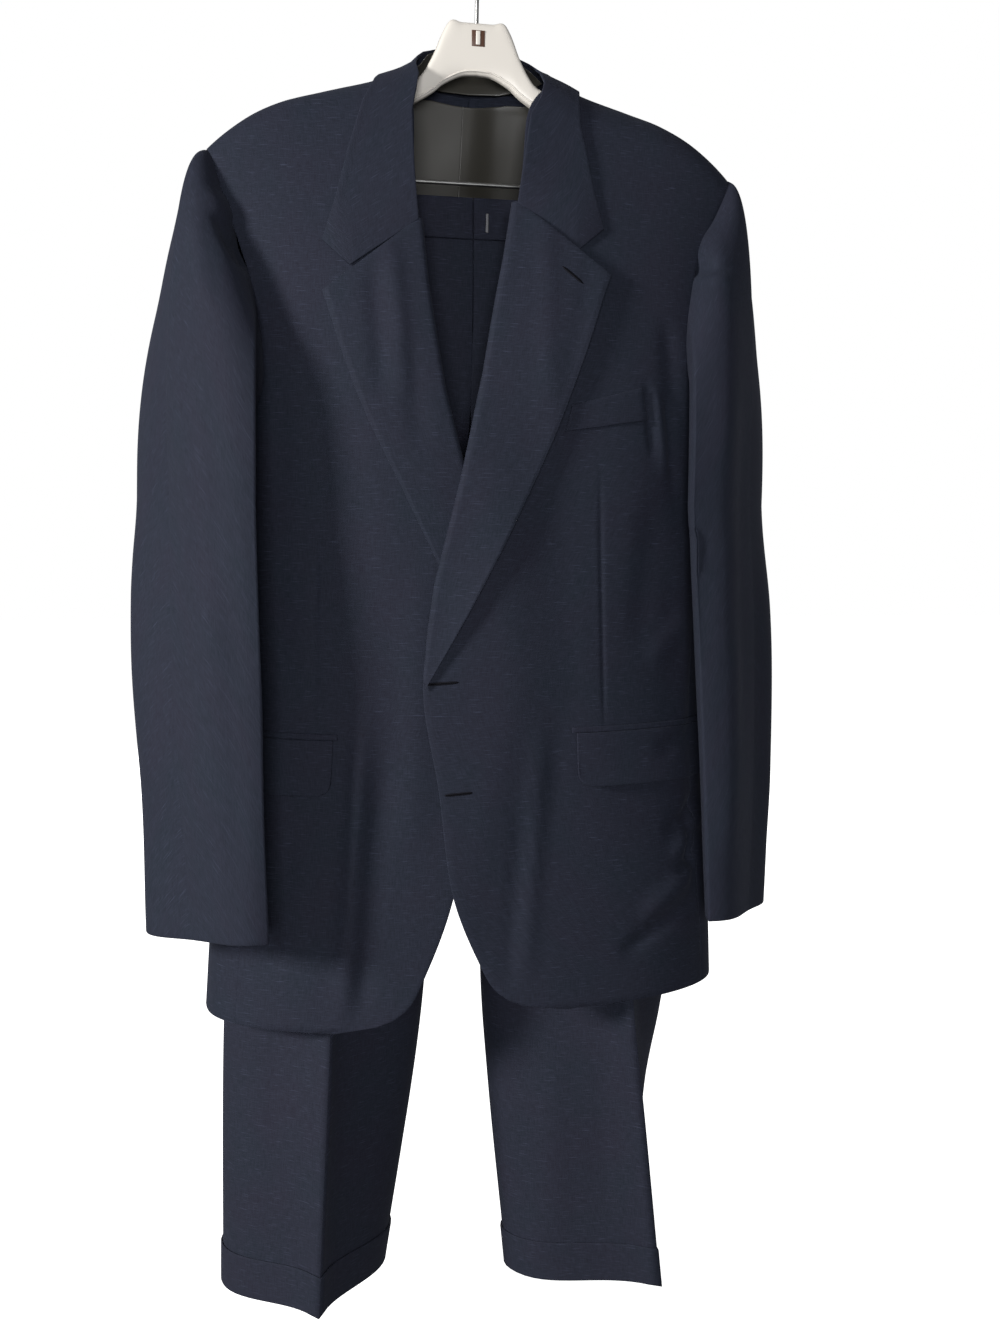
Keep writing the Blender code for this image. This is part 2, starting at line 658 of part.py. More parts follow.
def collar_half(side):
    """Points of half a collar, a line for each station, and last the line of the gorge."""
    lines = []
    for station, fold_x, fold_y, fold_drop, edge_x, edge_drop, off in COLLAR.rows:
        face = "front" if station >= RIDGE_STATION else "back"
        toward = FRONTWARD if face == "front" else BACKWARD
        share = COLLAR_SHARES
        x = blend(fold_x, edge_x, share)
        drop = blend(fold_drop, edge_drop, share)
        drop = drop - side * LOPSIDED.at("higher", drop)
        x = side * x + CENTRE.at("x", drop) * ease((drop - 125) / 40)
        y = np.full(len(share), fold_y)
        on = np.maximum(drop, RIDGE.at("drop", np.abs(x)) + 0.1)
        normal = outward(lambda a, b: body_point(a, b, face), x, on, toward)
        resting = body_point(x, on, face) + off * normal
        if face == "front":
            y = np.minimum(y, resting[:, 1])
        else:
            y = np.maximum(y, resting[:, 1])
        lines.append(np.stack([x, y, np.maximum(-drop, resting[:, 2])], -1))
    reach = np.array([0, 0.15, 0.5, 0.75, 1])
    out = np.append(blend(edge_line(GORGE_DROP) + 0.4, NOTCH_OUT, reach), COLLAR_TIP_OUT)
    drop = np.append(blend(GORGE_DROP, NOTCH_DROP, reach), COLLAR_TIP_DROP) - 0.4
    lines.append(off_front(side, out, drop, OFF + 1.2)[0])
    return np.array(lines)


right_half, left_half = collar_half(-1), collar_half(1)
points = np.concatenate([right_half[::-1], left_half[1:]])
normals = grid_normals(points)
normals *= np.sign(normals[len(points) // 2, 3, 1])
cloth("collar_fall", points, points + JACKET_WALL * normals)

# The collar's stand, inside the fold, down to the neck seam.
STAND = Table(
    "station top_x top_y top_drop foot_x foot_y foot_drop",
    (0, 0, 38, 88, 0, 29, 130),
    (1, 23, 34, 90, 27, 26, 129.5),
    (2, 41, 20, 99, 50, 17, 126),
    (3, 51, 1, 113, 62, 4, 121),
)
lines = []
for side in (-1, 1):
    top, foot = STAND.rows[:, 1:4], STAND.rows[:, 4:7]
    line = np.stack([blend(top, foot, share) for share in (0, 0.5, 1)], 1)
    lines.append(line * (side, 1, -1))
points = np.concatenate([lines[0][::-1], lines[1][1:]])
normals = grid_normals(points)
normals *= -np.sign(normals[3, 1, 1])
cloth("collar_stand", points, points + LINING_WALL * normals)

# The back lining, in two halves that meet in a pleat down the centre.
LINING_FOOT = 470
LINING_OFF = 2.2
lining_rows = np.array([0, 1, 2, 3, 4])
for side, word in SIDE_NAMES.items():
    edge_drop = blend(136, LINING_FOOT, lining_rows / 4)
    half_width = np.interp(edge_drop, (136, 200, 280, 470), (66, 150, 185, 188))
    share = np.linspace(0, 1, 7)
    x = side * blend(0.8, half_width[:, None], share)
    drop = np.maximum(edge_drop[:, None], shoulder_line(x, "back") + 7)
    points = body_point(x, drop, "back")
    normals = outward(lambda a, b: body_point(a, b, "back"), x, drop, BACKWARD)
    outside = points - LINING_OFF * normals
    outside[:, 0] -= 2 * normals[:, 0]
    cloth(f"back_lining_{word}", outside - LINING_WALL * normals, outside, LINING)

# ---------------------------------------------------------------- pockets, buttons and fly

FLAP_TOP, FLAP_DEPTH, FLAP_CORNER = 703, 49, 12
JETTING = 5
FLAP_OFF = OFF + 1.4
FLAP_FRONT = 107  # how far the flap's front end stands off the centre line
FLAP_BACK = {-1: 1.62, 1: 1.30}  # the angle round the body at which its back end lies
FLAP_SHARES = np.array([0, 0.02, 0.06, 0.12, 0.3, 0.5, 0.7, 0.9, 1])


def on_side(side, start, end, shares, drops, off):
    """Points and normals off the front and side panels, between two angles round the body."""
    angle = blend(start, end, shares) + 0 * drops
    away = np.array([side, -1, 0.0])
    normals = outward(lambda a, b: ring_point(side, a * 0.02, b), angle / 0.02, drops, away)
    points = ring_point(side, angle, drops) + off * normals
    if side > 0:
        points[..., 1] -= LAP.at("lift", drops) * (1 - ease((points[..., 0] + 18) / 70))
    return points, normals


for side, word in SIDE_NAMES.items():
    at = side * FLAP_FRONT + CENTRE.at("x", FLAP_TOP)
    start = side_angle(at, FLAP_TOP)
    end = FLAP_BACK[side]
    near = np.minimum(FLAP_SHARES, 1 - FLAP_SHARES) * 150 / FLAP_CORNER
    rounded = FLAP_CORNER * (1 - np.sqrt(1 - (1 - np.minimum(near, 1)) ** 2))
    depth = np.linspace(0, 1, 4)[:, None] * (FLAP_DEPTH - rounded)
    drops = FLAP_TOP + depth - side * 2
    points, normals = on_side(side, start, end, FLAP_SHARES, drops, FLAP_OFF)
    cloth(f"flap_{word}", points, points + JACKET_WALL * normals)
    drops = np.array([[FLAP_TOP - JETTING - GAP], [FLAP_TOP - GAP]]) - side * 2
    shares = np.linspace(-0.02, 1.01, 7)
    points, normals = on_side(side, start, end, shares, drops, FLAP_OFF)
    cloth(f"jetting_{word}", points, points + 1.2 * normals)

# The chest welt: its lower edge, and the upper one above it, from the centre to the sleeve.
WELT = Table("share low_x low_drop high_x high_drop", (0, 62, 436, 68, 413), (1, 142, 424, 134, 396))
share = np.linspace(0, 1, 6)
low = [blend(*WELT.rows[:, WELT.names.index(name)], share) for name in ("low_x", "low_drop")]
high = [blend(*WELT.rows[:, WELT.names.index(name)], share) for name in ("high_x", "high_drop")]
x, drop = (blend(a, b, np.linspace(0, 1, 3)[:, None]) for a, b in zip(high, low))
points = front_point(1, x, drop)
normals = outward(lambda a, b: body_point(a, b, "front"), x, drop, FRONTWARD)
points = points + OFF * normals
cloth("chest_welt", points, points + 1.6 * normals)


def turned(name, profile, centre, material, steps=24, collection=suit):
    """A round solid about Y from a profile of (radius, depth) pairs that starts and ends at 0."""
    mesh = bpy.data.meshes.new(name)
    points = [(radius * MM, depth * MM, 0) for radius, depth in profile]
    mesh.from_pydata(points, [(i, i + 1) for i in range(len(points) - 1)], [])
    piece = add(name, mesh, material, collection)
    piece.location = [value * MM for value in centre]
    screw = piece.modifiers.new("turn", "SCREW")
    screw.axis = "Y"
    screw.steps = screw.render_steps = steps
    screw.use_merge_vertices = True
    screw.merge_threshold = 0.0001
    return piece


BUTTON_RADIUS = 10
BUTTON = [(0, 0), (BUTTON_RADIUS - 1, 0), (BUTTON_RADIUS, -1), (BUTTON_RADIUS, -2)]
BUTTON += [(BUTTON_RADIUS - 1.2, -2.8), (BUTTON_RADIUS - 3, -2.2), (0, -2.2)]
for number, drop in (("upper", 655), ("lower", 751)):
    x = CENTRE.at("x", drop) + 12.0
    y = front_point(-1, x, drop)[1] - JACKET_WALL - 1.2
    turned(f"button_{number}", BUTTON, (x, y, -drop), HORN)


def block(name, low, high, material, bevel=0.0, collection=suit):
    """A box between two corners, in millimetres."""
    bpy.ops.mesh.primitive_cube_add(size=1)
    piece = bpy.context.object
    piece.name = piece.data.name = name
    for other in piece.users_collection:
        other.objects.unlink(piece)
    collection.objects.link(piece)
    low, high = np.array(low, float), np.array(high, float)
    corners = np.array([vertex.co for vertex in piece.data.vertices])
    corners = ((low + high) / 2 + corners * (high - low)) * MM
    for vertex, corner in zip(piece.data.vertices, corners):
        vertex.co = corner
    if material:
        piece.data.materials.append(material)
    if bevel:
        rounded = piece.modifiers.new("edges", "BEVEL")
        rounded.width = bevel * MM
        rounded.segments = 2
    return piece


block("fly_hook", (8, -12.4, -258), (10.5, -11, -241), STEEL, 0.4)

# ---------------------------------------------------------------- the hanger

HANGER = Table(  # across the hanger from its middle: the drops of its top and bottom, its depth
    "x top bottom thick",
    (0, 75, 120, 13),
    (14, 75, 121.5, 13),
    (26, 75.5, 127, 13),
    (31, 84, 130, 13),
    (38, 101, 136, 13),
    (50, 122, 144, 14),
    (75, 131, 157, 16),
    (110, 142, 168, 20),
    (160, 158, 182, 26),
    (200, 177, 198, 30),
    (213, 189, 201, 26),
)
BAR_DROP, BAR_RADIUS = 214, 2
BAR_END, BAR_END_DROP = 197, 198.2  # the bar turns up here, just under the arms
CLIP_X, CLIP_WIDE, CLIP_WALL = 150, 24, 1.6
CLIP_GAP, CLIP_BOTTOM = 10, 251  # half the room between a clip's jaws, and their ends
RING = 10  # points round each section


def hanger_section(x):
    """A rounded section of the hanger at x, with a narrow top that fits in the shoulder."""
    size = {name: np.interp(abs(x), HANGER.rows[:, 0], HANGER.at(name, HANGER.rows[:, 0]))
            for name in HANGER.names[1:]}
    angle = 2 * np.pi * np.arange(RING) / RING + np.pi / RING
    round_y, round_z = np.cos(angle), np.sin(angle)
    squared = 2 / 3.2
    y = size["thick"] / 2 * np.sign(round_y) * np.abs(round_y) ** squared
    z = np.sign(round_z) * np.abs(round_z) ** squared
    y = y * (1 - 0.45 * ease((z + 0.2) / 1.2) * ease((abs(x) - 40) / 60))
    middle, half_height = (size["top"] + size["bottom"]) / 2, (size["bottom"] - size["top"]) / 2
    return [(x * MM, float(b) * MM, (float(c) * half_height - middle) * MM) for b, c in zip(y, z)]


places = list(HANGER.rows[:, 0])
places = [-x for x in places[:0:-1]] + places
points = [point for x in places for point in hanger_section(x)]
faces = []
for i in range(len(places) - 1):
    for j in range(RING):
        a, b = i * RING + j, i * RING + (j + 1) % RING
        faces.append((a, a + RING, b + RING, b))
faces.append(tuple(range(RING)))
faces.append(tuple(range(len(points) - 1, len(points) - RING - 1, -1)))
mesh = bpy.data.meshes.new("hanger_body")
mesh.from_pydata(points, [], [face[::-1] for face in faces])
hanger = add("hanger_body", mesh, IVORY)

# The slot in the neck's face, with its insert, and the bore for the hook's shank.
SLOT_HALF, SLOT_TOP, SLOT_BOTTOM, SLOT_DEEP = 6, 82, 96, 2.2
WIRE_RADIUS = 1.75
face_y = -HANGER.rows[0, 3] / 2
slot = block(
    "slot_cutter",
    (-SLOT_HALF - GAP, face_y - 5, -SLOT_BOTTOM - GAP),
    (SLOT_HALF + GAP, face_y + SLOT_DEEP, -SLOT_TOP + GAP),
    None,
    collection=cutters,
)
bpy.ops.mesh.primitive_cylinder_add(
    vertices=24, radius=(WIRE_RADIUS + GAP) * MM, depth=40 * MM, location=(0, 0.0015, -0.078)
)
bore = bpy.context.object
bore.name = "bore_cutter"
for other in bore.users_collection:
    other.objects.unlink(bore)
cutters.objects.link(bore)
for cutter in (slot, bore):
    cutter.hide_render = True
    cutter.display_type = "WIRE"
    cut = hanger.modifiers.new(cutter.name, "BOOLEAN")
    cut.object = cutter
    cut.operation = "DIFFERENCE"
    cut.solver = "EXACT"
block(
    "hook_plate",
    (-SLOT_HALF, face_y + GAP, -SLOT_BOTTOM),
    (SLOT_HALF, face_y + SLOT_DEEP - GAP, -SLOT_TOP),
    BROWN,
)

HOOK_RADIUS = 20  # of the wire's centre line, round the hook
SHANK_Y = 1.5


def wire(name, path, radius, material, resolution=2):
    """A wire along a path of points in millimetres."""
    curve = bpy.data.curves.new(name, "CURVE")
    curve.dimensions = "3D"
    curve.bevel_depth = radius * MM
    curve.bevel_resolution = resolution
    curve.use_fill_caps = True
    line = curve.splines.new("POLY")
    line.points.add(len(path) - 1)
    for point, place in zip(line.points, path):
        point.co = (place[0] * MM, place[1] * MM, place[2] * MM, 1)
    return add(name, curve, material)


middle = WIRE_RADIUS - HOOK_RADIUS
path = [(0, SHANK_Y, -96), (0, SHANK_Y, -60)]
for degrees in range(-90, 211, 15):
    angle = math.radians(degrees)
    share = min((degrees + 90) / 90, 1)
    x, z = HOOK_RADIUS * math.cos(angle), middle + HOOK_RADIUS * math.sin(angle)
    path.append((x, SHANK_Y * (1 - share), z))
path[2] = (2, SHANK_Y, middle - HOOK_RADIUS - 1)
wire("hanger_hook", path, WIRE_RADIUS, STEEL)
bend = [(0, BAR_END_DROP), (0, 206), (1, 209.5), (4, 212.8), (9, BAR_DROP)]  # inwards from its end
path = [(inwards - BAR_END, 0, -drop) for inwards, drop in bend]
path += [(-x, y, z) for x, y, z in path[::-1]]
wire("trouser_bar", path, BAR_RADIUS, STEEL)

# Spring clips that sit on the bar and hold the waistband's top between their jaws.
arch_drop = BAR_DROP - BAR_RADIUS - GAP + CLIP_GAP
outline = [(CLIP_GAP, CLIP_BOTTOM)]
for degrees in range(0, 181, 20):
    angle = math.radians(degrees)
    outline.append((CLIP_GAP * math.cos(angle), arch_drop - CLIP_GAP * math.sin(angle)))
outline.append((-CLIP_GAP, CLIP_BOTTOM))
for name, middle in (("right", -CLIP_X), ("left", CLIP_X)):
    mesh = bpy.data.meshes.new(f"trouser_clip_{name}")
    points = [(x * MM, y * MM, -drop * MM) for x in (middle - CLIP_WIDE / 2, middle + CLIP_WIDE / 2)
              for y, drop in outline]
    row = len(outline)
    mesh.from_pydata(points, [], [(i, i + 1, i + 1 + row, i + row) for i in range(row - 1)])
    clip = add(f"trouser_clip_{name}", mesh, STEEL)
    shell = clip.modifiers.new("wall", "SOLIDIFY")
    shell.thickness = CLIP_WALL * MM
    shell.offset = 1
    shell.use_even_offset = True
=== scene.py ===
"""Looks for a two-piece suit on a hanger: a single-breasted jacket over trousers with turn-ups.

It works in millimetres and makes its meshes in metres. X runs to the wearer's left, the front
faces -Y, and "drop" is how far a point hangs below the inside of the hook, the origin. Side +1 is
the wearer's left and side -1 the wearer's right.
"""

import math

import bmesh
import bpy
import numpy as np
from mathutils import Matrix, Vector


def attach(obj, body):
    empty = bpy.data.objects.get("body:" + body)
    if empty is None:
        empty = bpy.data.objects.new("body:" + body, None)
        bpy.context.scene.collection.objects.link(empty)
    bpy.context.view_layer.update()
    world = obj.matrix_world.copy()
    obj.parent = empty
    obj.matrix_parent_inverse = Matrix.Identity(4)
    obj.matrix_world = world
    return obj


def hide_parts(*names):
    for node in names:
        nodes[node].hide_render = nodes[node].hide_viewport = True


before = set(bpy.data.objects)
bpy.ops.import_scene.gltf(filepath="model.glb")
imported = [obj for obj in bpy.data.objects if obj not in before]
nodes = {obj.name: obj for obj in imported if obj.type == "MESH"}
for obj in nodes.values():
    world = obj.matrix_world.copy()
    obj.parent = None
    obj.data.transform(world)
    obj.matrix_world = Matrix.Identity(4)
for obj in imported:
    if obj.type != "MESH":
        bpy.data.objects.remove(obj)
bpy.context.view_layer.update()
MM = 0.001
SIDE_NAMES = {-1: "right", 1: "left"}

# ---------------------------------------------------------------- the hanger
# A moulded suit hanger in ivory plastic, hollow-backed, with a wide arm that fills each shoulder.
# Its steel hook is pressed into the neck, and a bar for the trousers springs in under the arms.


class Table:
    """Rows of sizes with named columns. The first column is the one that the others are read by."""

    def __init__(self, names, *rows):
        self.names = names.split()
        self.rows = np.array(rows, float)

    def at(self, name, key):
        """The named column at key, on a smooth curve through the rows."""
        keys, values = self.rows[:, 0], self.rows[:, self.names.index(name)]
        slopes = np.gradient(values, keys)
        key = np.clip(key, keys[0], keys[-1])
        i = np.clip(np.searchsorted(keys, key) - 1, 0, len(keys) - 2)
        step = keys[i + 1] - keys[i]
        t = (key - keys[i]) / step
        rise = t * t * (3 - 2 * t)
        start = slopes[i] * step * t * (1 - t) ** 2
        end = slopes[i + 1] * step * t * t * (1 - t)
        return blend(values[i], values[i + 1], rise) + start - end


def blend(a, b, share):
    return a * (1 - share) + b * share


def ease(t):
    """A smooth step from 0 to 1."""
    t = np.clip(t, 0, 1)
    return t * t * (3 - 2 * t)


def unit(v):
    return v / np.maximum(np.linalg.norm(v, axis=-1, keepdims=True), 1e-9)


HANGER = Table(  # across the hanger from its middle: the drops of its top and bottom, its depth
    "x top bottom thick",
    (0, 75, 120, 13),
    (14, 75, 121.5, 13),
    (26, 75.5, 127, 13),
    (31, 84, 130, 13),
    (38, 101, 136, 13),
    (50, 122, 144, 14),
    (75, 131, 157, 16),
    (110, 142, 168, 20),
    (160, 158, 182, 26),
    (200, 177, 198, 30),
    (213, 189, 201, 26),
)


def shader_of(material):
    return material.node_tree.nodes["Principled BSDF"]


def new_material(name, colour, roughness, **sockets):
    """A Principled material, with any other sockets by their names with _ for a space."""
    material = bpy.data.materials.new(name)
    material.use_nodes = True
    shader = shader_of(material)
    shader.inputs["Base Color"].default_value = (*colour, 1)
    shader.inputs["Roughness"].default_value = roughness
    for socket, value in sockets.items():
        shader.inputs[socket.replace("_", " ")].default_value = value
    return material


def node(material, kind, links=(), **values):
    """A node of a material. links are (input, output it takes), and values set its properties."""
    made = material.node_tree.nodes.new(kind)
    for name, value in values.items():
        if name in made.inputs:
            made.inputs[name].default_value = value
        else:
            setattr(made, name, value)
    for socket, output in links:
        material.node_tree.links.new(made.inputs[socket], output)
    return made


def moulded(name, colour, roughness, mottle):
    """A moulded plastic: a little unevenness of gloss and tone, and a very fine grain."""
    material = new_material(name, colour, roughness)
    place = node(material, "ShaderNodeTexCoord").outputs["Object"]
    cloud = node(material, "ShaderNodeTexNoise", [("Vector", place)], Scale=22.0, Detail=3.0)
    grain = node(material, "ShaderNodeTexNoise", [("Vector", place)], Scale=900.0, Detail=2.0)
    tone = node(material, "ShaderNodeMix", [("Factor", cloud.outputs["Fac"])], data_type="RGBA")
    tone.inputs[6].default_value = (*colour, 1)
    tone.inputs[7].default_value = (*(value * mottle for value in colour), 1)
    gloss = node(material, "ShaderNodeMapRange", [("Value", cloud.outputs["Fac"])])
    gloss.inputs["To Min"].default_value = roughness - 0.08
    gloss.inputs["To Max"].default_value = roughness + 0.1
    bump = node(material, "ShaderNodeBump", [("Height", grain.outputs["Fac"])], Strength=0.12,
                Distance=0.0002)
    shader = shader_of(material)
    link = material.node_tree.links.new
    link(shader.inputs["Base Color"], tone.outputs[2])
    link(shader.inputs["Roughness"], gloss.outputs["Result"])
    link(shader.inputs["Normal"], bump.outputs["Normal"])
    return material


def drawn_steel(name, colour, roughness):
    """Steel wire or strip, with faint marks of drawing."""
    material = new_material(name, colour, roughness, Metallic=1.0)
    place = node(material, "ShaderNodeTexCoord").outputs["Object"]
    marks = node(material, "ShaderNodeTexNoise", [("Vector", place)], Scale=90.0, Detail=2.0)
    rough = node(material, "ShaderNodeMapRange", [("Value", marks.outputs["Fac"])])
    rough.inputs["To Min"].default_value = roughness - 0.06
    rough.inputs["To Max"].default_value = roughness + 0.12
    bump = node(material, "ShaderNodeBump", [("Height", marks.outputs["Fac"])], Strength=0.02,
                Distance=0.0001)
    link = material.node_tree.links.new
    link(shader_of(material).inputs["Roughness"], rough.outputs["Result"])
    link(shader_of(material).inputs["Normal"], bump.outputs["Normal"])
    return material


def finish_piece(piece, material, slot, *replaced):
    """Gives a piece its material, and has it ride on the one body. Its slot is not used."""
    piece.data.materials.clear()
    piece.data.materials.append(material)
    bpy.context.scene.collection.objects.link(piece)
    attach(piece, "root")
    if replaced:
        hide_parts(*replaced)
    return piece


def repaint(name, material):
    """Gives a node of the frame a material of its own."""
    nodes[name].data.materials.clear()
    nodes[name].data.materials.append(material)


IVORY = moulded("ivory_plastic", (0.81, 0.765, 0.70), 0.36, 0.93)
BROWN = moulded("brown_plastic", (0.11, 0.05, 0.03), 0.42, 0.7)
STEEL = drawn_steel("bright_steel", (0.5, 0.5, 0.49), 0.3)
DULL_STEEL = drawn_steel("dull_steel", (0.16, 0.16, 0.17), 0.5)

RING = 48
ARM_END = HANGER.rows[-1, 0]


def hanger_section(x):
    """A rounded section of the hanger at x, narrower towards its top out in the shoulder."""
    size = {name: HANGER.at(name, abs(x)) for name in HANGER.names[1:]}
    closing = math.sqrt(1 - max(0, (abs(x) - ARM_END + 6) / 6.2) ** 2)
    angle = 2 * np.pi * np.arange(RING) / RING
    squared = 2 / 3.6
    y = size["thick"] / 2 * np.sign(np.cos(angle)) * np.abs(np.cos(angle)) ** squared
    z = np.sign(np.sin(angle)) * np.abs(np.sin(angle)) ** squared
    y = y * (1 - 0.45 * ease((z + 0.2) / 1.2) * ease((abs(x) - 40) / 60)) * closing
    middle, half = (size["top"] + size["bottom"]) / 2, (size["bottom"] - size["top"]) / 2
    return np.stack([x + 0 * y, y, z * half * closing - middle], -1)


def tube_piece(name, sections, material, slot, *replaced):
    """A closed form through rings of the same number of points."""
    points = np.concatenate(sections)
    ring = len(sections[0])
    faces = []
    for i in range(len(sections) - 1):
        for j in range(ring):
            a, b = i * ring + j, i * ring + (j + 1) % ring
            faces.append((a, b, b + ring, a + ring))
    faces.append(tuple(range(ring))[::-1])
    faces.append(tuple(range(len(points) - ring, len(points))))
    mesh = bpy.data.meshes.new(name)
    mesh.from_pydata((points * MM).tolist(), [], faces)
    mesh.shade_smooth()
    return finish_piece(bpy.data.objects.new(name, mesh), material, slot, *replaced)


half_places = np.concatenate([np.arange(0, 24, 2), np.arange(24, 52, 1), np.arange(52, 207, 4),
                              ARM_END - np.array([5, 3.5, 2.2, 1.2, 0.5, 0.1])])
places = np.concatenate([-half_places[:0:-1], half_places])
tube_piece("suit_hanger", [hanger_section(x) for x in places], IVORY, "ivory_plastic", "hanger_body")

# A raised bead runs along the arch's edge, front and back.
BEAD_RADIUS = 0.9


def bead(name, edge, inside, reach, toward):
    """A bead on the hanger's face, inside its named edge, out to reach either side of the middle."""
    sections = []
    turn = 2 * np.pi * np.arange(10) / 10
    for x in np.linspace(-reach, reach, 121):
        at = HANGER.at(edge, abs(x)) + inside
        ring = hanger_section(x)
        level = np.abs(ring[:, 2] + at) + 100 * (ring[:, 1] * toward < 0)
        y = ring[np.argmin(level), 1]
        across, up = BEAD_RADIUS * np.cos(turn), BEAD_RADIUS * np.sin(turn)
        sections.append(np.stack([x + 0 * turn, y + across, up - at], -1))
    tube_piece(name, sections, IVORY, "ivory_plastic")


for toward, word in ((-1, "front"), (1, "back")):
    bead(f"arch_bead_{word}", "bottom", -3.4, 150, toward)

# The window in the neck's face: a brown frame and a light tongue in its middle.
SLOT_HALF, SLOT_TOP, SLOT_BOTTOM = 6, 82, 96
face_y = -HANGER.rows[0, 3] / 2


def rounded_block(name, low, high, edge, material, slot, *replaced):
    """A block between two corners with rounded edges, in millimetres."""
    form = bmesh.new()
    bmesh.ops.create_cube(form, size=1)
    low, high = np.array(low, float), np.array(high, float)
    for corner in form.verts:
        corner.co = Vector(((low + high) / 2 + np.array(corner.co) * (high - low)) * MM)
    bmesh.ops.bevel(form, geom=form.edges[:], offset=edge * MM, segments=3, affect="EDGES", profile=0.5)
    block_mesh = bpy.data.meshes.new(name)
    form.to_mesh(block_mesh)
    form.free()
    block_mesh.shade_smooth()
    block_mesh.set_sharp_from_angle(angle=math.radians(40))
    return finish_piece(bpy.data.objects.new(name, block_mesh), material, slot, *replaced)


rounded_block("neck_window", (-SLOT_HALF, face_y - 0.35, -SLOT_BOTTOM), (SLOT_HALF, face_y + 1.5, -SLOT_TOP),
              0.5, BROWN, "brown_plastic", "hook_plate")
rounded_block("window_tongue", (-2.2, face_y - 0.9, -SLOT_BOTTOM + 1.4), (1.8, face_y + 0.5, -SLOT_TOP - 0.6),
              0.6, IVORY, "ivory_plastic")

HOOK_RADIUS = 20  # of the wire's centre line, round the hook
SHANK_Y = 1.5
BAR_DROP, BAR_RADIUS = 214, 2
BAR_END, BAR_END_DROP = 197, 198.2  # the bar turns up here, just under the arms
WIRE_RADIUS = 1.75


def smooth_wire(name, path, radius, replaced):
    """A steel wire along points in millimetres, with rounded ends."""
    curve = bpy.data.curves.new(name, "CURVE")
    curve.dimensions = "3D"
    curve.bevel_depth = radius * MM
    curve.bevel_resolution = 6
    curve.use_fill_caps = True
    line = curve.splines.new("POLY")
    line.points.add(len(path) - 1)
    for point, place in zip(line.points, path):
        point.co = (place[0] * MM, place[1] * MM, place[2] * MM, 1)
    return finish_piece(bpy.data.objects.new(name, curve), STEEL, "bright_steel", replaced)


middle = WIRE_RADIUS - HOOK_RADIUS
path = [(0, SHANK_Y, -74.5), (0, SHANK_Y, -60), (0.1, SHANK_Y, -50)]
path += [(0.5, SHANK_Y, middle - HOOK_RADIUS - 5), (2, SHANK_Y, middle - HOOK_RADIUS - 1.6)]
for degrees in range(-78, 211, 6):
    angle = math.radians(degrees)
    share = min((degrees + 90) / 90, 1)
    x, z = HOOK_RADIUS * math.cos(angle), middle + HOOK_RADIUS * math.sin(angle)
    path.append((x, SHANK_Y * (1 - share), z))
smooth_wire("steel_hook", path, WIRE_RADIUS, "hanger_hook")

bend = [(0, BAR_END_DROP), (0, 206), (0.3, 208), (1.2, 209.8), (2.6, 211.4), (4.4, 212.8), (6.6, 213.7),
        (9, BAR_DROP)]
path = [(inwards - BAR_END, 0, -drop) for inwards, drop in bend]
path += [(-x, y, z) for x, y, z in path[::-1]]
smooth_wire("steel_bar", path, BAR_RADIUS, "trouser_bar")

for word in SIDE_NAMES.values():
    repaint(f"trouser_clip_{word}", STEEL)

# ---------------------------------------------------------------- the trousers
# Flat-fronted trousers in the suit's dark navy worsted, hung by the waistband. Each leg is a front
# and a back, pressed along its creases, and each hem is folded up outside into a turn-up.

LEG_COLUMNS = "drop crease_x crease_y inner_x inner_y back_x back_y outer_x outer_y apart fold"
LEGS = {
    -1: Table(
        LEG_COLUMNS,
        (227, -103, -5.5, -3.2, 0, -103, 5.5, -202, 0, 4.5, 0),
        (330, -108, -17, -3.2, 2, -108, 24, -206, 2, 13, 0),
        (430, -113, -29, -5, 4, -112, 38, -208, 4, 14, 0.1),
        (510, -117, -42, -12, 6, -114, 46, -207, 6, 3, 0.6),
        (560, -119, -48, -17, 8, -116, 48, -207, 8, 0, 0.9),
        (740, -128, -64, -28, 12, -130, 54, -214, 6, 0, 1),
        (985, -139, -80, -42, 14, -150, 60, -226, 4, 0, 1),
        (1235, -149, -83, -74, 30, -160, 78, -228, 2, 0, 1),
    ),
    1: Table(
        LEG_COLUMNS,
        (227, 103, -5.5, -2.2, 0, 103, 5.5, 202, 0, 4.5, 0),
        (330, 108, -17, -2.2, 2, 108, 24, 206, 2, 13, 0),
        (430, 113, -29, -2.5, 4, 112, 38, 208, 4, 14, 0.1),
        (510, 118, -42, 10, 6, 114, 46, 207, 6, 3, 0.6),
        (560, 120, -49, 13, 7, 114, 50, 206, 7, 0, 0.9),
        (740, 130, -68, 17, 4, 112, 60, 206, 8, 0, 1),
        (985, 145, -84, 20, -6, 110, 62, 196, 14, 0, 1),
        (1060, 156, -81, 27, -10, 110, 66, 180, 18, 0, 1),
        (1243, 179, -76, 49, -15, 110, 82, 170, 28, 0, 1),
    ),
}
CREASE_PINCH = 0.5  # how nearly the faces beside a crease lie together, from 0 to 1
CROTCH = 545
WAISTBAND = (227, 264)
TURN_UP = 38
TROUSER_WALL, WAISTBAND_WALL = 1.4, 2.6
GAP = 0.3  # between neighbouring pieces


def bezier(a, b, c, d, t):
    t = t[..., None]
    return a * (1 - t) ** 3 + 3 * b * t * (1 - t) ** 2 + 3 * c * t * t * (1 - t) + d * t**3


def corner_curve(start, end, leaving, arriving, t, pull=0.42):
    """A curve in plan from one corner of a section to the next."""
    reach = pull * np.linalg.norm(end - start, axis=-1, keepdims=True)
    return bezier(start, start + reach * leaving, end - reach * arriving, end, t)


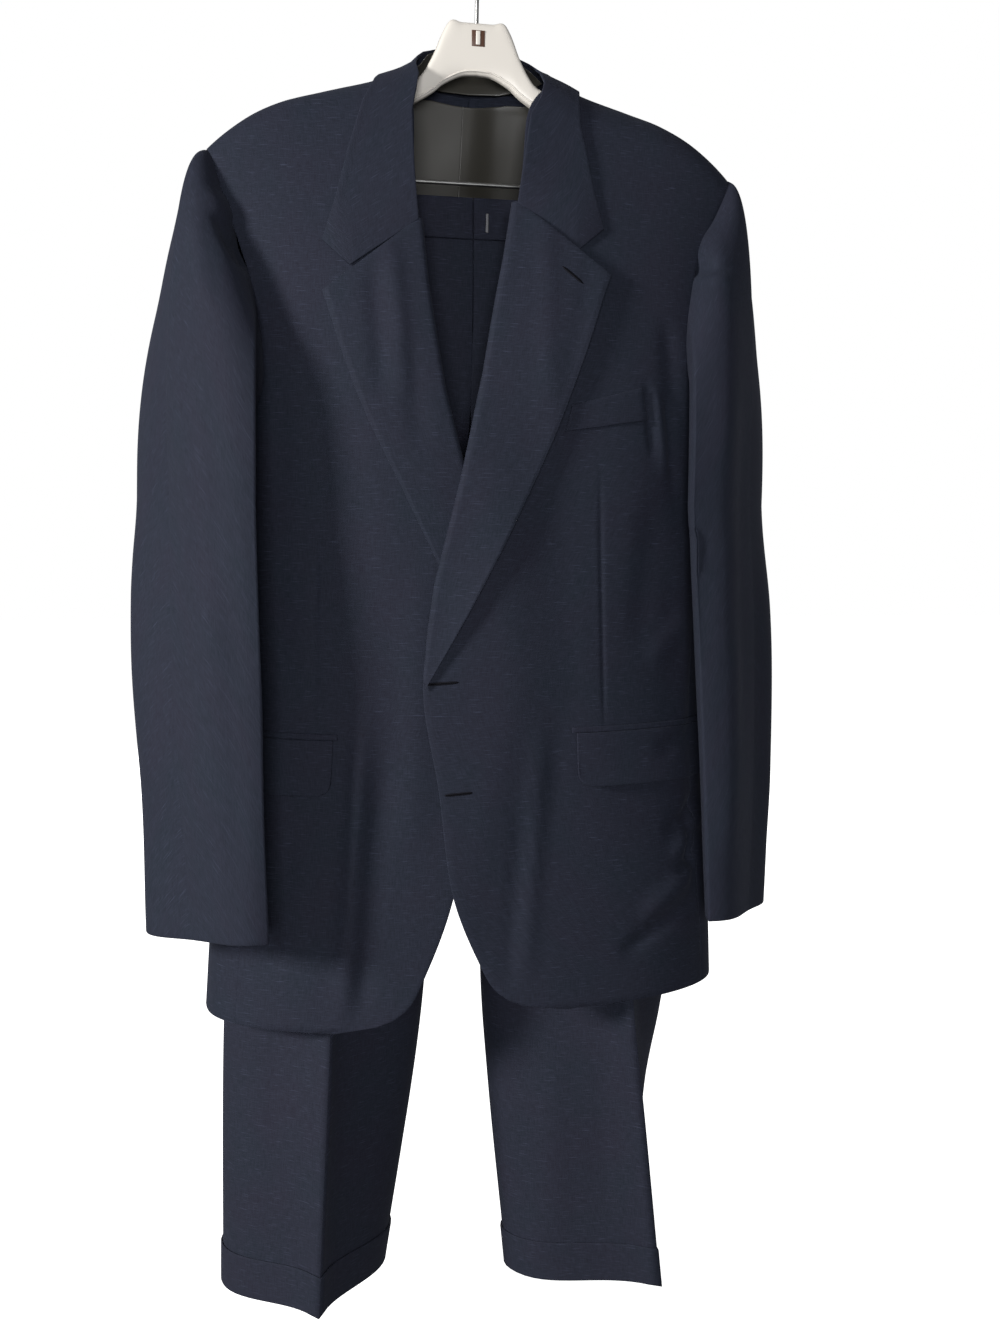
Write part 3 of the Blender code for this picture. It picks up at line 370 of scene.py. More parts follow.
def leg_plan(side, turn, drop):
    """A section of one half. turn is 0 at the crease, 1/4 inside, 1/2 at the back, 3/4 outside."""
    rows = LEGS[side]
    size = {name: rows.at(name, drop)[..., None] for name in rows.names[1:]}
    crease, inner, back, outer = (
        np.concatenate([size[name + "_x"], size[name + "_y"]], -1)
        for name in ("crease", "inner", "back", "outer")
    )
    shift = np.concatenate([0 * size["apart"], np.maximum(size["apart"], 0)], -1)
    along = unit(back - crease)
    pairs = (
        (crease, inner - shift, CREASE_PINCH, 1, 1),
        (inner + shift, back, 1, CREASE_PINCH, 1),
        (back, outer, CREASE_PINCH, 1, -1),
        (outer, crease, 1, CREASE_PINCH, -1),
    )
    point = np.zeros(turn.shape + (2,))
    for k, (start, end, leave, arrive, sign) in enumerate(pairs):
        t = np.clip(turn * 4 - k, 0, 1)
        straight = unit(end - start)
        leaving = unit(blend(straight, sign * along, leave * size["fold"]))
        arriving = unit(blend(straight, sign * along, arrive * size["fold"]))
        piece = corner_curve(start, end, leaving, arriving, t, 0.36)
        here = (turn * 4 > k) | (k == 0)
        point = np.where(here[..., None], piece, point)
    return np.stack([point[..., 0], point[..., 1], -drop], -1)


def directions(grid, axis, closed=False):
    """The direction of the grid's lines at each point, midway between those of the steps beside it."""
    step = unit(np.diff(grid, axis=axis))
    if closed:
        step = unit(np.roll(grid, -1, axis=axis) - grid)
        return unit(step + np.roll(step, 1, axis=axis))
    first, last = np.take(step, [0], axis), np.take(step, [-1], axis)
    return unit(np.concatenate([first, step], axis) + np.concatenate([step, last], axis))


def grid_normals(grid, closed=False):
    """Unit normals of a grid, by its rows and columns."""
    return unit(np.cross(directions(grid, 1, closed), directions(grid, 0)))


def leg_halves(side, drops, quarter):
    """Front and back points, and their normals, from the outer seam to the inner one."""
    step = np.linspace(0, 0.25, quarter + 1)
    front_turns = np.concatenate([0.75 + step[:-1], step])
    front_turns[front_turns == 0.75] += 1e-9
    back_turns = np.concatenate([0.75 - step[:-1], 0.5 - step])
    back_turns[back_turns == 0.25] += 1e-9
    halves = []
    for turns, face in ((front_turns, -1), (back_turns, 1)):
        grid = leg_plan(side, turns[None] + 0 * drops[:, None], drops[:, None] + 0 * turns[None])
        normals = grid_normals(grid)
        halves.append([grid, normals * np.sign(normals[..., 1].sum() * face)])
    for column in (0, -1):
        shared = unit(halves[0][1][:, column] + halves[1][1][:, column])
        joined = (drops > CROTCH)[:, None] if column else np.full((len(drops), 1), True)
        for half in halves:
            half[1][:, column] = np.where(joined, shared, half[1][:, column])
    return halves


SEAM_OVER = 0.25  # how far each piece runs past its seam, so that no light comes through


def trim(grid, start=SEAM_OVER, end=SEAM_OVER):
    """The grid with its first and last columns drawn out past the seams."""
    grid = grid.copy()
    grid[:, 0] -= start * unit(grid[:, 1] - grid[:, 0])
    grid[:, -1] -= end * unit(grid[:, -2] - grid[:, -1])
    return grid


def worsted(name, colour, slub, sheen):
    """Dark worsted: fine yarns both ways, a few thicker slubs across, and a cloud of cooler tone.

    It reads the cloth's own map, in metres along the weft and the warp.
    """
    material = new_material(name, colour, 0.8, Specular_IOR_Level=0.16, Sheen_Weight=sheen,
                            Sheen_Roughness=0.45, Sheen_Tint=(0.62, 0.66, 0.85, 1))
    yarns = node(material, "ShaderNodeUVMap", uv_map="cloth").outputs["UV"]

    def threads(along, across, detail):
        """Noise drawn out along u and v, in millimetres."""
        place = node(material, "ShaderNodeMapping", [("Vector", yarns)],
                     Scale=(1000 / along, 1000 / across, 1))
        return node(material, "ShaderNodeTexNoise", [("Vector", place.outputs["Vector"])], Scale=1.0,
                    Detail=detail, Roughness=0.6).outputs["Fac"]

    def ramp(value, low, high):
        made = node(material, "ShaderNodeMapRange", [("Value", value)])
        made.inputs["From Min"].default_value = low
        made.inputs["From Max"].default_value = high
        return made.outputs["Result"]

    def toned(factor, base, shade):
        """base where factor is 0, and shade where it is 1."""
        made = node(material, "ShaderNodeMix", [("Factor", factor)], data_type="RGBA")
        for socket, value in ((made.inputs[6], base), (made.inputs[7], shade)):
            if isinstance(value, tuple):
                socket.default_value = (*value, 1)
            else:
                material.node_tree.links.new(socket, value)
        return made.outputs[2]

    weft = threads(7, 0.75, 3)
    warp = threads(0.75, 11, 3)
    slubs = ramp(threads(16, 0.9, 1), 0.62, 0.8)
    cloud = ramp(threads(70, 90, 2), 0.35, 0.65)
    weave = node(material, "ShaderNodeMath", [(0, weft), (1, warp)], operation="ADD").outputs["Value"]
    red, green, blue = colour
    tone = toned(cloud, (red * 1.12, green * 0.98, blue * 1.02), (red * 0.86, green * 1.06, blue * 1.0))
    tone = toned(ramp(weave, 0.75, 1.3), tone, tuple(value * 1.75 for value in colour))
    tone = toned(slubs, tone, tuple(value * slub for value in colour))
    ribs = node(material, "ShaderNodeMapping", [("Vector", yarns)], Scale=(1000, 1000, 1),
                Rotation=(0, 0, math.radians(58)))
    twill = node(material, "ShaderNodeTexWave", [("Vector", ribs.outputs["Vector"])], Scale=0.42,
                 Distortion=1.2, Detail=1.0).outputs["Fac"]
    height = node(material, "ShaderNodeMath", [(0, twill), (2, weave)], operation="MULTIPLY_ADD")
    height.inputs[1].default_value = 0.8
    bump = node(material, "ShaderNodeBump", [("Height", height.outputs["Value"])], Strength=0.5,
                Distance=0.00012)
    material.node_tree.links.new(shader_of(material).inputs["Base Color"], tone)
    material.node_tree.links.new(shader_of(material).inputs["Normal"], bump.outputs["Normal"])
    return material


SMALLEST_FLAT = 10.0  # the least width and length that a cut's flat size is taken as
EDGE_LINES = ((0.3, 0.72), (1.1, 1.0))  # lines added inside an edge: how far in, and share of the wall


def edged(grid, axis):
    """The grid with lines added close to its first and last ones, so that the edge can be rounded."""
    grid = np.moveaxis(grid, axis, 0)
    lines = []
    for first, second in ((grid[0], grid[1]), (grid[-1], grid[-2])):
        step = np.linalg.norm((second - first)[..., :3], axis=-1, keepdims=True)
        lines.append([first + (second - first) * np.minimum(inside / step, inside / 4)
                      for inside, _ in EDGE_LINES])
    grid = np.concatenate([grid[:1], lines[0], grid[1:-1], lines[1][::-1], grid[-1:]])
    return np.moveaxis(grid, 0, axis)


def rounding(count):
    """Share of the wall at each line of an edged grid, from one edge to the other."""
    share = np.ones(count)
    for i, value in enumerate([0.2] + [share for _, share in EDGE_LINES]):
        share[i] = share[-1 - i] = value
    return share


def lengths(grid, axis):
    """Length along the grid's lines from the first point, in millimetres."""
    step = np.linalg.norm(np.diff(grid, axis=axis), axis=-1)
    start = np.zeros_like(np.take(step, [0], axis))
    return np.concatenate([start, np.cumsum(step, axis)], axis)


def cloth(name, inside, outside, material, slot, weave=None, closed=False):
    """A wall of cloth with rounded edges between two grids.

    It stands for the node called name. weave holds each point's place along the weft and the warp,
    in millimetres. closed joins the last column to the first.
    """
    middle, half = (inside + outside) / 2, (outside - inside) / 2
    if weave is None:
        weave = np.stack([lengths(middle, 1), lengths(middle, 0)], -1)
    flat_width, flat_length = (max(lengths(middle, axis).max(), SMALLEST_FLAT) for axis in (1, 0))
    grid = edged(np.concatenate([middle, half, weave], -1), 0)
    share = rounding(len(grid))[:, None]
    if closed:
        wrapped = np.concatenate([grid, grid[:, :1]], 1)
        around = np.linalg.norm((wrapped[:, -1] - wrapped[:, -2])[:, :3], axis=-1)
        wrapped[:, -1, 6] = wrapped[:, -2, 6] + around
        weave = wrapped[..., 6:]
        flat_width += around.max()
    else:
        grid = edged(grid, 1)
        share = np.minimum(share, rounding(grid.shape[1])[None])
        weave = grid[..., 6:]
    half = grid[..., 3:6] * share[..., None]
    rows, columns = grid.shape[:2]
    points = np.concatenate([grid[..., :3] - half, grid[..., :3] + half]).reshape(-1, 3)
    number = np.arange(rows * columns).reshape(rows, columns)
    mapped = np.arange(weave.shape[0] * weave.shape[1]).reshape(weave.shape[:2])
    if closed:
        number = np.concatenate([number, number[:, :1]], 1)

    def quads(index):
        return np.stack([index[:-1, :-1], index[1:, :-1], index[1:, 1:], index[:-1, 1:]], -1).reshape(-1, 4)

    def rims(index, beyond):
        strips = [(index[-1], index[-1] + beyond), (index[0] + beyond, index[0])]
        if not closed:
            strips += [(index[:, 0], index[:, 0] + beyond), (index[:, -1] + beyond, index[:, -1])]
        return np.concatenate([quads(np.stack(strip)) for strip in strips])

    outer = rows * columns
    faces = np.concatenate([quads(number), quads(number)[:, ::-1] + outer, rims(number, outer)])
    corners = np.concatenate([quads(mapped), quads(mapped)[:, ::-1], rims(mapped, 0)])
    a, b, c, d = (points[faces[:, i]] for i in range(4))
    volume = (a * np.cross(b, c)).sum() + (a * np.cross(c, d)).sum()
    if volume < 0:
        faces, corners = faces[:, ::-1], corners[:, ::-1]
    cloth_name = name + "_cloth"
    made = bpy.data.meshes.new(cloth_name)
    made.from_pydata((points * MM).tolist(), [], faces.tolist())
    layer = made.uv_layers.new(name="cloth")
    layer.data.foreach_set("uv", (weave.reshape(-1, 2)[corners.reshape(-1)] * MM).ravel())
    made.shade_smooth()
    piece = finish_piece(bpy.data.objects.new(cloth_name, made), material, slot, name)
    return piece


class Folds:
    """Soft troughs and ridges, a row for each: its two ends, half its width, and how far it stands out."""

    def __init__(self, *rows):
        self.rows = rows

    def height(self, across, drop):
        total = 0 * across
        for x1, drop1, x2, drop2, wide, high in self.rows:
            run_x, run_drop = x2 - x1, drop2 - drop1
            long = math.hypot(run_x, run_drop)
            along = ((across - x1) * run_x + (drop - drop1) * run_drop) / long
            beside = ((across - x1) * run_drop - (drop - drop1) * run_x) / long
            fade = ease(along / (0.35 * long) + 0.4) * ease((long - along) / (0.35 * long) + 0.4)
            total = total + high * fade * np.exp(-((beside / wide) ** 2))
        return total


def unevenness(a, b, size, high, seed):
    """Slow swells in cloth that has been worn, about size apart."""
    random = np.random.default_rng(seed)
    total = 0 * a
    for _ in range(7):
        turn = random.uniform(0, np.pi)
        reach = size * random.uniform(0.7, 1.8)
        phase = random.uniform(0, 2 * np.pi)
        total = total + np.sin((a * np.cos(turn) + 0.45 * b * np.sin(turn)) * 2 * np.pi / reach + phase)
    return high * total / 7


TROUSER_CLOTH = worsted("trouser_worsted", (0.0135, 0.015, 0.0245), 3.0, 0.05)
LEG_QUARTER = 16
# x1, drop1, x2, drop2, half width, height
LEG_FOLDS = {
    -1: Folds(
        (-150, 560, -165, 900, 14, 2.2),
        (-120, 640, -128, 1010, 10, -2.0),
        (-178, 700, -184, 1120, 9, -1.8),
        (-150, 930, -154, 1200, 11, 1.6),
    ),
    1: Folds(
        (40, 560, 62, 880, 15, 2.4),
        (90, 600, 104, 960, 11, -2.4),
        (70, 930, 84, 1190, 13, 1.8),
        (118, 900, 128, 1170, 10, -1.6),
        (48, 1010, 56, 1200, 8, -1.4),
    ),
}


def spaced(marks, step):
    """Numbers through the marks, about step apart."""
    return np.concatenate([np.linspace(a, b, max(round((b - a) / step), 1), endpoint=False)
                           for a, b in zip(marks[:-1], marks[1:])] + [marks[-1:]])


def creased_half(side, drops, quarter):
    """A half's front and back, as leg_halves gives them, with the folds of its cloth."""
    made = []
    for points, normals in leg_halves(side, drops, quarter):
        height = LEG_FOLDS[side].height(points[..., 0], -points[..., 2])
        low = ease((-points[..., 2] - 300) / 150)
        height = height + unevenness(points[..., 0], -points[..., 2], 90, 1.4, side + 3) * low
        column = np.arange(points.shape[1])
        height = height * ease(np.minimum(column, column[::-1]) / 4)  # the seams lie flat
        made.append([points + height[..., None] * normals, normals])
    return made


waist_drops = np.array([WAISTBAND[0], 231, 238, 245, 252, 259, WAISTBAND[1] - GAP])
bands = {}
for side, word in SIDE_NAMES.items():
    hem = LEGS[side].rows[-1, 0]
    drops = spaced([WAISTBAND[1], 300, hem - TURN_UP, hem], 6.0)
    for part, (points, normals) in zip(("front", "back"), creased_half(side, drops, LEG_QUARTER)):
        points = trim(points)
        across = np.stack([lengths(points, 1), -points[..., 2]], -1)
        across[..., 0] -= across[:, LEG_QUARTER : LEG_QUARTER + 1, 0]
        cloth(f"trouser_{part}_{word}", points, points + TROUSER_WALL * normals, TROUSER_CLOTH,
              "trouser_worsted", across)
    bands[side] = leg_halves(side, waist_drops, 12)
    points, normals = bands[side][0]
    points = trim(points)
    cloth(f"waistband_front_{word}", points, points + WAISTBAND_WALL * normals, TROUSER_CLOTH,
          "trouser_worsted")

    front, back = creased_half(side, spaced([hem - TURN_UP, hem + 0.8], 3.5), LEG_QUARTER)
    points = np.concatenate([front[0], back[0][:, -2:0:-1]], axis=1)
    normals = np.concatenate([front[1], back[1][:, -2:0:-1]], axis=1)
    inside = points + (TROUSER_WALL + 2 * GAP) * normals
    cloth(f"turn_up_{word}", inside, inside + TROUSER_WALL * normals, TROUSER_CLOTH,
          "trouser_worsted", closed=True)

points = np.concatenate([bands[-1][1][0], bands[1][1][0][:, -2::-1]], axis=1)
normals = np.concatenate([bands[-1][1][1], bands[1][1][1][:, -2::-1]], axis=1)
points = trim(points)
cloth("waistband_back", points, points + WAISTBAND_WALL * normals, TROUSER_CLOTH, "trouser_worsted")
repaint("fly_hook", DULL_STEEL)

# ---------------------------------------------------------------- the jacket's body
# Two fronts, two side panels and two backs in the same worsted over canvas. The left front laps
# over the right one, and the centre back seam stands open below as a vent.

JACKET_WALL = 2.0
ACROSS = 2.4  # exponent of the body's rounded plan, where 2 would be an ellipse
BODY = Table(
    "drop half_width front back",
    (100, 254, 62, 56),
    (220, 252, 70, 62),
    (330, 240, 88, 76),
    (450, 224, 98, 80),
    (560, 218, 97, 74),
    (660, 219, 97, 71),
    (760, 226, 100, 74),
    (860, 235, 101, 77),
    (970, 242, 102, 78),
)
RIDGE = Table(  # the line along the top of the shoulders
    "x drop",
    (0, 111),
    (40, 116),
    (72, 125),
    (98, 134),
    (140, 146),
    (170, 155),
    (205, 173),
    (237, 200),
    (252, 217),
)
TURN, TURN_SHARE = 26, 0.42  # the cloth turns over the shoulder in this drop
FALL = 230  # and reaches the body's full depth in this one
CENTRE = Table(  # the fronts hang a little to the wearer's right
    "drop x", (120, -5), (150, -11), (190, -15), (240, -19), (318, -25), (394, -27), (660, -28),
    (750, -31), (850, -34), (970, -32)
)
FRONT = Table(
    "row edge edge_drop outer outer_drop sag",
    (0, 72, 125, 237, 200, 1.0),
    (1, 52, 153, 222, 238, 0.7),
    (2, 47, 215, 205, 280, 0.3),
    (3, 36, 300, 192, 335, 0.0),
    (4, 20, 394, 190, 392, 0.0),
    (5, 0, 478, 206, 452, 0.0),
    (6, -22, 568, 200, 560, 0.0),
    (7, -34, 660, 199, 660, 0.0),
    (8, -17, 753, 203, 753, 0.0),
    (9, 0, 850, 211, 850, 0.0),
    (10, 26, 918, 216, 912, 0.0),
    (11, 42, 944, 218, 941, 0.0),
    (12, 66, 957, 219, 954, 0.0),
    (13, 104, 963, 219, 961, 0.0),
)
BACK = Table(  # "edge" is the vent's opening
    "row edge edge_drop outer outer_drop sag",
    (0, 0, 133, 237, 200, 1.0),
    (1, 0, 158, 224, 238, 0.7),
    (2, 0, 215, 213, 280, 0.3),
    (3, 0, 290, 205, 335, 0.0),
    (4, 0, 370, 203, 392, 0.0),
    (5, 0, 450, 206, 452, 0.0),
    (6, 0, 560, 200, 560, 0.0),
    (7, 0, 670, 199, 660, 0.0),
    (8, 1, 762, 203, 753, 0.0),
    (9, 14, 840, 211, 850, 0.0),
    (10, 27, 905, 216, 912, 0.0),
    (11, 33, 935, 218, 941, 0.0),
    (12, 36, 950, 219, 954, 0.0),
    (13, 38, 957, 219, 961, 0.0),
)
ARMHOLE_ROWS = 5  # the first rows of FRONT and BACK end at the armhole
ARMHOLE_SHIFT = {-1: 8, 1: -9}  # each armhole's front is pulled a little the same way
UNDERARM_DIP = 9
HEM_DROP = {-1: 4.0, 1: -9.0}  # how much lower each side's hem hangs
VENT_SHIFT = 8
LAP = Table(  # how far the left front stands off the right one
    "drop lift", (380, 0), (450, 6), (500, 8), (600, 8), (780, 7), (850, 4), (930, 1), (970, 0.5)
)


def ridge_y(x):
    return 4 - 10 * (x / 237) ** 2


def settled(x, drop):
    """How far the cloth has come, from 0 on the shoulder's ridge to 1 at the body's full depth."""
    under = np.maximum(drop - RIDGE.at("drop", np.abs(x)), 0)
    turned = np.sqrt(1 - (1 - np.minimum(under / TURN, 1)) ** 2)
    fallen = np.sin(np.pi / 2 * np.minimum(under / FALL, 1))
    return TURN_SHARE * turned + (1 - TURN_SHARE) * fallen


def body_point(x, drop, face):
    """A point on the body's inner surface. face is "front" or "back"."""
    reach = np.clip(np.abs(x) / BODY.at("half_width", drop), 0, 1)
    full = BODY.at(face, drop) * (1 - reach**ACROSS) ** (1 / ACROSS)
    if face == "front":
        full = -full
    y = blend(ridge_y(x), full, settled(x, drop))
    return np.stack([x + 0 * y, y, -drop + 0 * y], -1)


def side_angle(x, drop):
    """The angle round the body's plan, from 0 at the centre front to 90 degrees at the side."""
    reach = np.clip(np.abs(x) / BODY.at("half_width", drop), 0, 1)
    return np.arcsin(reach ** (ACROSS / 2))


def ring_point(side, angle, drop):
    """The same surface low down, by an angle that runs from the front through 90 to the back."""
    across, along = np.sin(angle), np.cos(angle)
    depth = np.where(along > 0, -BODY.at("front", drop), BODY.at("back", drop))
    x = side * BODY.at("half_width", drop) * np.abs(across) ** (2 / ACROSS)
    return np.stack([x, depth * np.abs(along) ** (2 / ACROSS), -drop + 0 * x], -1)


def edge_line(drop):
    """How far a front's edge stands off the centre line at this drop."""
    return np.interp(drop, FRONT.rows[:, 2], FRONT.rows[:, 1])


def front_point(side, x, drop):
    """A point on a front's inner surface, with the lap of the left front over the right."""
    point = body_point(x, drop, "front")
    if side > 0:
        under_edge = CENTRE.at("x", drop) - edge_line(drop)
        point[..., 1] -= LAP.at("lift", drop) * (1 - ease((x - under_edge - 6) / 70))
    return point


def outward(surface, a, b, away):
    """Unit normals of surface(a, b), to the side that away points to."""
    here = surface(a, b)
    normal = unit(np.cross(surface(a + 0.2, b) - here, surface(a, b + 0.8) - here))
    return normal * np.sign((normal * away).sum(-1, keepdims=True))


AWAY = {"front": np.array([0, -1, 0.2]), "back": np.array([0, 1, 0.2])}


def body_normals(x, drop, face):
    """Outward normals of the body, on its front or its back."""
    return outward(lambda a, b: body_point(a, b, face), x, drop, AWAY[face])


def panel_lines(table, side, rows, face):
    """Edge and outer ends, as x and drop, of the lines that cross a panel."""
    edge_drop, outer_drop = table.at("edge_drop", rows), table.at("outer_drop", rows)
    low = ease((outer_drop - 500) / 450) * HEM_DROP[side]
    outer_x = side * table.at("outer", rows)
    if face == "front":
        pulled = ease(rows / 2) * (1 - ease((rows - 3) / 2))
        outer_x += side * ARMHOLE_SHIFT[side] * pulled
        edge_x = CENTRE.at("x", edge_drop) + side * table.at("edge", rows)
        edge_x = np.where(rows == 0, side * table.at("edge", rows), edge_x)
    else:
        opened = table.at("edge", rows)
        edge_x = side * (opened + GAP / 2) + VENT_SHIFT * ease(opened / 30)
    return edge_x, edge_drop + low, outer_x, outer_drop + low


def shoulder_line(x, face):
    """Drop of a panel's top edge: the ridge, and across the back the neckline too."""
    over = RIDGE.at("drop", np.abs(x))
    if face == "front":
        return over
    return np.maximum(over, blend(133, 125, ease(np.abs(x) / 72)))


def panel(table, side, rows, columns, face):
    """Inner points and normals of a panel, a line for each row and a column for each share."""
    edge_x, edge_drop, outer_x, outer_drop = panel_lines(table, side, rows, face)
    share = columns + 0.12 * np.sin(np.pi * columns)
    x = blend(edge_x[:, None], outer_x[:, None], share)
    drop = blend(edge_drop[:, None], outer_drop[:, None], share)
    top = shoulder_line(x, face)
    chord = blend(top[:, :1], top[:, -1:], share)
    drop = drop + table.at("sag", rows)[:, None] * (top - chord)
    if face == "front":
        points = front_point(side, x, drop)
    else:
        points = body_point(x, drop, "back")
    return points, body_normals(x, drop, face)


def side_panel(side, rows, columns):
    """Inner points and normals of the side panel, between the front's and the back's side seams."""
    drop = FRONT.at("outer_drop", rows)
    drop = drop + ease((drop - 500) / 450) * HEM_DROP[side]
    start = side_angle(FRONT.at("outer", rows), drop)[:, None]
    angle = blend(start, np.pi - start, columns)
    dip = UNDERARM_DIP * np.sin(np.pi * columns) * (1 - ease(rows - ARMHOLE_ROWS))[:, None]
    drop = drop[:, None] + dip
    away = np.array([side, 0, 0])
    return ring_point(side, angle, drop), outward(
        lambda a, b: ring_point(side, a * 0.02, b), angle / 0.02, drop, away
    )


JACKET_CLOTH = worsted("jacket_worsted", (0.0130, 0.0150, 0.0245), 3.0, 0.05)
# x1, drop1, x2, drop2, half width, height
FRONT_FOLDS = {
    -1: Folds(
        (-112, 690, -128, 945, 10, 6.0),
        (-96, 730, -112, 940, 9, -4.5),
        (-62, 560, -70, 800, 16, 2.2),
        (-206, 300, -198, 420, 13, -2.5),
        (-170, 330, -158, 520, 17, 2.4),
        (-196, 480, -182, 640, 14, -2.6),
        (-228, 560, -216, 900, 15, 2.6),
        (-176, 800, -190, 915, 11, -2.4),
        (-150, 546, -153, 690, 2.2, -1.1),
    ),
    1: Folds(
        (140, 395, 146, 450, 4, -3.2),
        (150, 400, 160, 470, 5, 2.6),
        (162, 405, 172, 490, 5, -3.0),
        (30, 770, 20, 925, 5, -3.2),
        (44, 700, 32, 915, 9, 3.6),
        (152, 640, 190, 600, 10, 2.6),
        (172, 800, 216, 772, 6, -5.0),
        (180, 822, 216, 790, 6, 4.0),
        (186, 838, 214, 822, 5, -4.5),
        (196, 790, 208, 850, 5, -4.0),
        (150, 872, 215, 832, 8, 4.6),
        (130, 905, 208, 866, 7, -4.6),
        (160, 722, 206, 706, 7, -3.0),
        (198, 640, 206, 880, 9, -3.0),
        (182, 520, 196, 700, 12, 2.6),
        (150, 500, 140, 620, 15, -2.0),
        (96, 480, 105, 690, 2.2, -1.1),
        (160, 340, 168, 430, 9, -2.6),
    ),
}
BACK_FOLDS = Folds(
    (-40, 240, -120, 210, 16, -2.6),
    (50, 245, 130, 215, 16, -2.4),
    (-150, 330, -140, 560, 16, 3.0),
    (150, 320, 136, 590, 17, 3.2),
    (-90, 600, -60, 880, 14, -2.4),
    (80, 620, 56, 890, 15, -2.6),
    (-40, 560, 60, 600, 14, 2.0),
    (-170, 700, -180, 900, 13, 2.6),
    (170, 690, 182, 905, 12, 2.4),
)


def fine_rows(table, step):
    """Row numbers of a panel, closer where the shoulder turns and about step apart below it."""
    drops = table.rows[:, 2] if table is FRONT else FRONT.rows[:, 2]
    low = spaced(list(drops[1:]), step)
    rows = np.interp(low, drops[1:], np.arange(1.0, len(drops)))
    return np.concatenate([[0, 0.02, 0.05, 0.1, 0.16, 0.24, 0.34, 0.46, 0.6, 0.74, 0.88], rows])


front_rows = fine_rows(FRONT, 5.5)
armhole_rows = front_rows[front_rows <= ARMHOLE_ROWS]
side_rows = front_rows[front_rows >= ARMHOLE_ROWS]
FRONT_SHARES = np.linspace(0, 1, 44)
SIDE_SHARES = np.linspace(0, 1, 22)
DART_SHARES = {-1: (0.40, 0.64), 1: (0.40, 0.62)}  # the part of each front that holds its dart


def front_height(side, x, drop):
    """The folds of a front and its side panel."""
    swell = unevenness(x, drop, 110, 1.3, 11 + side) * ease((drop - 240) / 120)
    return FRONT_FOLDS[side].height(x, drop) + swell


def back_height(x, drop):
    swell = unevenness(x, drop, 120, 1.5, 21) * ease((drop - 200) / 120)
    return BACK_FOLDS.height(x, drop) + swell


def flow(points, start):
    """Places along the weft from start at the first column, and along the warp by drop."""
    return np.stack([start + lengths(points, 1), -points[..., 2]], -1)


def side_height(side, points, share):
    """The side panel's folds, which pass from the front's to the back's."""
    x, drop = points[..., 0], -points[..., 2]
    return blend(front_height(side, x, drop), back_height(x, drop), ease(share))


for side, word in SIDE_NAMES.items():
    for table, face in ((FRONT, "front"), (BACK, "back")):
        shares = FRONT_SHARES
        if face == "front":
            shares = np.union1d(shares, np.linspace(*DART_SHARES[side], 48))
        points, normals = panel(table, side, front_rows, shares, face)
        x, drop = points[..., 0], -points[..., 2]
        height = front_height(side, x, drop) if face == "front" else back_height(x, drop)
        points = points + height[..., None] * normals
        points = trim(points, start=0 if face == "front" else SEAM_OVER)
        cloth(f"jacket_{face}_{word}", points, points + JACKET_WALL * normals, JACKET_CLOTH,
              "worsted", flow(points, np.abs(points[:, :1, 0])))
    points, normals = side_panel(side, side_rows, SIDE_SHARES)
    points = trim(points + side_height(side, points, SIDE_SHARES)[..., None] * normals)
    cloth(f"jacket_side_{word}", points, points + JACKET_WALL * normals, JACKET_CLOTH, "worsted",
          flow(points, 240))

# ---------------------------------------------------------------- the back lining
# Charcoal satin inside the back of the jacket, in two halves with a pleat down the centre for
# ease. Only the part behind the neck opening shows.


def satin(name, colour):
    """Lining satin: a smooth gloss along the warp, with faint ribs and a soft change of tone."""
    material = new_material(name, colour, 0.38, Specular_IOR_Level=0.55, Sheen_Weight=0.25,
                            Sheen_Roughness=0.3, Anisotropic=0.4)
    yarns = node(material, "ShaderNodeUVMap", uv_map="cloth").outputs["UV"]
    place = node(material, "ShaderNodeMapping", [("Vector", yarns)], Scale=(1600, 60, 1))
    ribs = node(material, "ShaderNodeTexNoise", [("Vector", place.outputs["Vector"])], Scale=1.0, Detail=2.0)
    cloud = node(material, "ShaderNodeTexNoise", [("Vector", yarns)], Scale=16.0, Detail=2.0)
    tone = node(material, "ShaderNodeMix", [("Factor", cloud.outputs["Fac"])], data_type="RGBA")
    tone.inputs[6].default_value = (*(value * 0.8 for value in colour), 1)
    tone.inputs[7].default_value = (*(value * 1.3 for value in colour), 1)
    bump = node(material, "ShaderNodeBump", [("Height", ribs.outputs["Fac"])], Strength=0.25,
                Distance=0.0001)
    material.node_tree.links.new(shader_of(material).inputs["Base Color"], tone.outputs[2])
    material.node_tree.links.new(shader_of(material).inputs["Normal"], bump.outputs["Normal"])
    return material


LINING_CLOTH = satin("lining_satin", (0.046, 0.043, 0.036))
LINING_WALL = 1.0
LINING_FOOT = 470
LINING_OFF = 2.2
PLEAT_LAP = {-1: 0.5, 1: -7.0}  # where each half starts: the left one laps over the right one
PLEAT_RAISED = {-1: 0.0, 1: 4.5}  # how far the pleat stands out from the lining under it
PLEAT_HALF = 26.0

